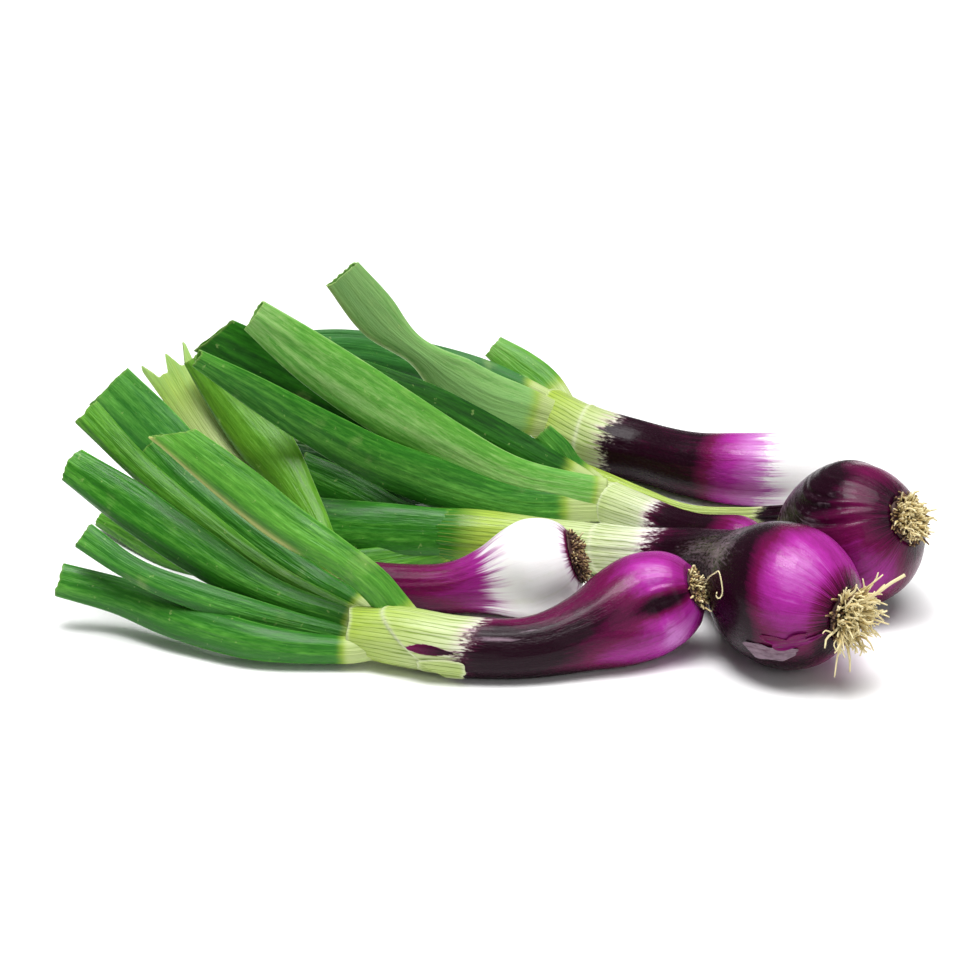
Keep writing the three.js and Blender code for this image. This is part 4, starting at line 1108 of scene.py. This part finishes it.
class OnionLook(bpy.types.PropertyGroup):
    """Colours and pattern sizes of the bunch."""

    skin_lilac: colour("Lilac", "Lightest purple skin", (0.52, 0.16, 0.50))
    skin_magenta: colour("Magenta", "Bright purple skin of the bulbs", (0.36, 0.022, 0.29))
    skin_purple: colour("Purple", "Deeper purple skin", (0.125, 0.003, 0.052))
    skin_dark: colour("Dark purple", "Near black skin of the necks", (0.012, 0.001, 0.006))
    skin_white: colour("White", "White skin", (0.90, 0.88, 0.88))
    sheath_pale: colour("Pale sheath", "Sheath just above the purple", (0.54, 0.61, 0.34))
    sheath_green: colour("Green sheath", "Sheath just below the leaves", (0.34, 0.47, 0.06))
    sheath_line: colour("Sheath lines", "Thin lines along the sheath", (0.17, 0.26, 0.03))
    # Colour of pale dry skin, also used as painted sheen and highlights on the necks and bulbs.
    dry_film_and_sheen: colour("Dry film", "Thin dry skin over the purple", (0.40, 0.28, 0.35))
    collar: colour("Collar", "Rim of a sheath layer", (0.85, 0.85, 0.68))
    # Dark leaf is also the painted shade of leaves deep in the pile.
    leaf_dark: colour("Dark leaf", "Leaf in its deepest parts", (0.004, 0.040, 0.003))
    leaf_green: colour("Leaf", "Main leaf green", (0.022, 0.150, 0.007))
    leaf_light: colour("Light leaf", "Lighter leaf", (0.100, 0.335, 0.036))
    leaf_bright: colour("Bright leaf", "Lightest leaf", (0.33, 0.56, 0.18))
    leaf_yellow: colour("Yellow leaf", "Leaf turning yellow", (0.20, 0.40, 0.02))
    leaf_bloom: colour("Bloom", "Bluish wax on the leaf", (0.080, 0.29, 0.095))
    leaf_scuff: colour("Scuffs", "Small pale flecks", (0.36, 0.50, 0.16))
    dry_edge: colour("Dry edge", "Dried rim of a leaf", (0.60, 0.55, 0.20))
    root_dark: colour("Root base", "Crown and root bases", (0.040, 0.012, 0.012))
    root_brown: colour("Brown root", "Dry short roots", (0.20, 0.11, 0.05))
    root_straw: colour("Straw root", "Straw coloured roots", (0.54, 0.41, 0.16))
    root_pale: colour("Pale root", "Palest roots", (0.80, 0.70, 0.40))
    floor: colour("Floor", "Floor", (0.95, 0.95, 0.95))
    line_count: IntProperty(name="Sheath lines", description="Lines round a sheath", default=40, min=8)
    vein_count: IntProperty(name="Veins", description="Veins round a leaf", default=44, min=8)


class OnionStage(bpy.types.PropertyGroup):
    """Camera and lights."""

    distance: number("Distance", "Camera to the middle, in metres", 0.912)
    pitch: number("Pitch", "Degrees that the camera looks down", 24.0)
    lens: number("Lens", "Focal length in millimetres", 100.0)
    key: number("Key", "Power of the key light in watts", 3.0)
    fill: number("Fill", "Power of the fill light in watts", 1.0)
    sun: number("Sun", "Strength of the soft high light", 3.2)
    sky: number("Surround", "Strength of the white surround", 0.17)


class OBJECT_OT_onion_bulbs(bpy.types.Operator):
    """Builds the six shoots, each with bulb, neck and sheath"""

    bl_idname = "object.onion_bulbs"
    bl_label = "Bulbs and sheaths"

    def execute(self, context):
        material = skin_material(context.scene.onion_look)
        for onion in ONIONS:
            build_shoot(onion, material)
            for flake in onion.get("flakes", []):
                build_flake(onion, flake, material)
        return {"FINISHED"}


class OBJECT_OT_onion_leaves(bpy.types.Operator):
    """Builds the hollow leaves"""

    bl_idname = "object.onion_leaves"
    bl_label = "Leaves"

    def execute(self, context):
        material = leaf_material(context.scene.onion_look)
        for onion in ONIONS:
            for index, leaf in enumerate(onion["leaves"]):
                build_leaf(onion, index, leaf, material)
        return {"FINISHED"}


class OBJECT_OT_onion_roots(bpy.types.Operator):
    """Builds the root tufts"""

    bl_idname = "object.onion_roots"
    bl_label = "Roots"

    def execute(self, context):
        material = root_material(context.scene.onion_look)
        for onion in ONIONS:
            build_roots(onion, material)
        return {"FINISHED"}


# Places on the stage, in metres.
FLOOR_CORNERS = [(-4, -3, 0), (4, -3, 0), (4, 5, 0), (-4, 5, 0)]
CAMERA_TARGET, LIGHT_TARGET = (-0.0016, -0.0124, 0.030), (0, 0, 0.02)
KEY_PLACE, KEY_SIZE = (-0.05, -0.12, 0.75), (0.35, 0.25)
FILL_PLACE, FILL_SIZE = (0.5, -0.75, 0.5), (0.5, 0.5)
SUN_PLACE, SUN_DEGREES = (0.04, 0.02, 1.0), 50
SENSOR = 36


def put(name, data, place, target):
    """Links an object at a place, turned so that it looks at the target."""
    thing = bpy.data.objects.new(name, data)
    thing.location = place
    thing.rotation_euler = (Vector(target) - thing.location).to_track_quat("-Z", "Y").to_euler()
    bpy.context.scene.collection.objects.link(thing)
    return thing


def add_panel_light(name, place, size, power):
    """A rectangular light that faces the pile."""
    lamp = bpy.data.lights.new(name, "AREA")
    lamp.shape = "RECTANGLE"
    lamp.size, lamp.size_y = size
    lamp.energy = power
    put(name, lamp, place, LIGHT_TARGET)


class OBJECT_OT_onion_stage(bpy.types.Operator):
    """Sets the floor, lights and camera"""

    bl_idname = "object.onion_stage"
    bl_label = "Stage"

    def execute(self, context):
        scene = context.scene
        look, stage = scene.onion_look, scene.onion_stage
        mesh = bpy.data.meshes.new("floor")
        mesh.from_pydata(FLOOR_CORNERS, [], [(0, 1, 2, 3)])
        mesh.materials.append(floor_material(look))
        floor = bpy.data.objects.new("floor", mesh)
        scene.collection.objects.link(floor)
        pitch = math.radians(stage.pitch)
        away = Vector((0, -math.cos(pitch), math.sin(pitch))) * stage.distance
        lens = bpy.data.cameras.new("camera")
        lens.lens = stage.lens
        lens.sensor_width = SENSOR
        scene.camera = put("camera", lens, Vector(CAMERA_TARGET) + away, CAMERA_TARGET)
        add_panel_light("key_light", KEY_PLACE, KEY_SIZE, stage.key)
        add_panel_light("fill_light", FILL_PLACE, FILL_SIZE, stage.fill)
        sun = bpy.data.lights.new("soft_sun", "SUN")
        sun.energy = stage.sun
        sun.angle = math.radians(SUN_DEGREES)
        put("soft_sun", sun, SUN_PLACE, (0, 0, 0))
        world = bpy.data.worlds.new("studio")
        world.use_nodes = True
        scene.world = world
        surround = world.node_tree.nodes["Background"].inputs
        surround["Color"].default_value = (1, 1, 1, 1)
        surround["Strength"].default_value = stage.sky
        scene.view_settings.view_transform = "Standard"
        return {"FINISHED"}


class VIEW3D_PT_onions(bpy.types.Panel):
    """Lists the builders"""

    bl_label = "Spring onions"
    bl_space_type = "VIEW_3D"
    bl_region_type = "UI"
    bl_category = "Onions"

    def draw(self, context):
        for operator in OPERATORS:
            self.layout.operator(operator.bl_idname)


OPERATORS = (OBJECT_OT_onion_bulbs, OBJECT_OT_onion_leaves, OBJECT_OT_onion_roots, OBJECT_OT_onion_stage)
CLASSES = (OnionLook, OnionStage, *OPERATORS, VIEW3D_PT_onions)


def register():
    for made in CLASSES:
        bpy.utils.register_class(made)
    bpy.types.Scene.onion_look = PointerProperty(type=OnionLook)
    bpy.types.Scene.onion_stage = PointerProperty(type=OnionStage)


def unregister():
    del bpy.types.Scene.onion_stage
    del bpy.types.Scene.onion_look
    for made in reversed(CLASSES):
        bpy.utils.unregister_class(made)


def main():
    """Registers the builders, runs them through bpy.ops."""
    register()
    bpy.ops.object.onion_bulbs()
    bpy.ops.object.onion_leaves()
    bpy.ops.object.onion_roots()
    bpy.ops.object.onion_stage()


if __name__ == "__main__":
    main()
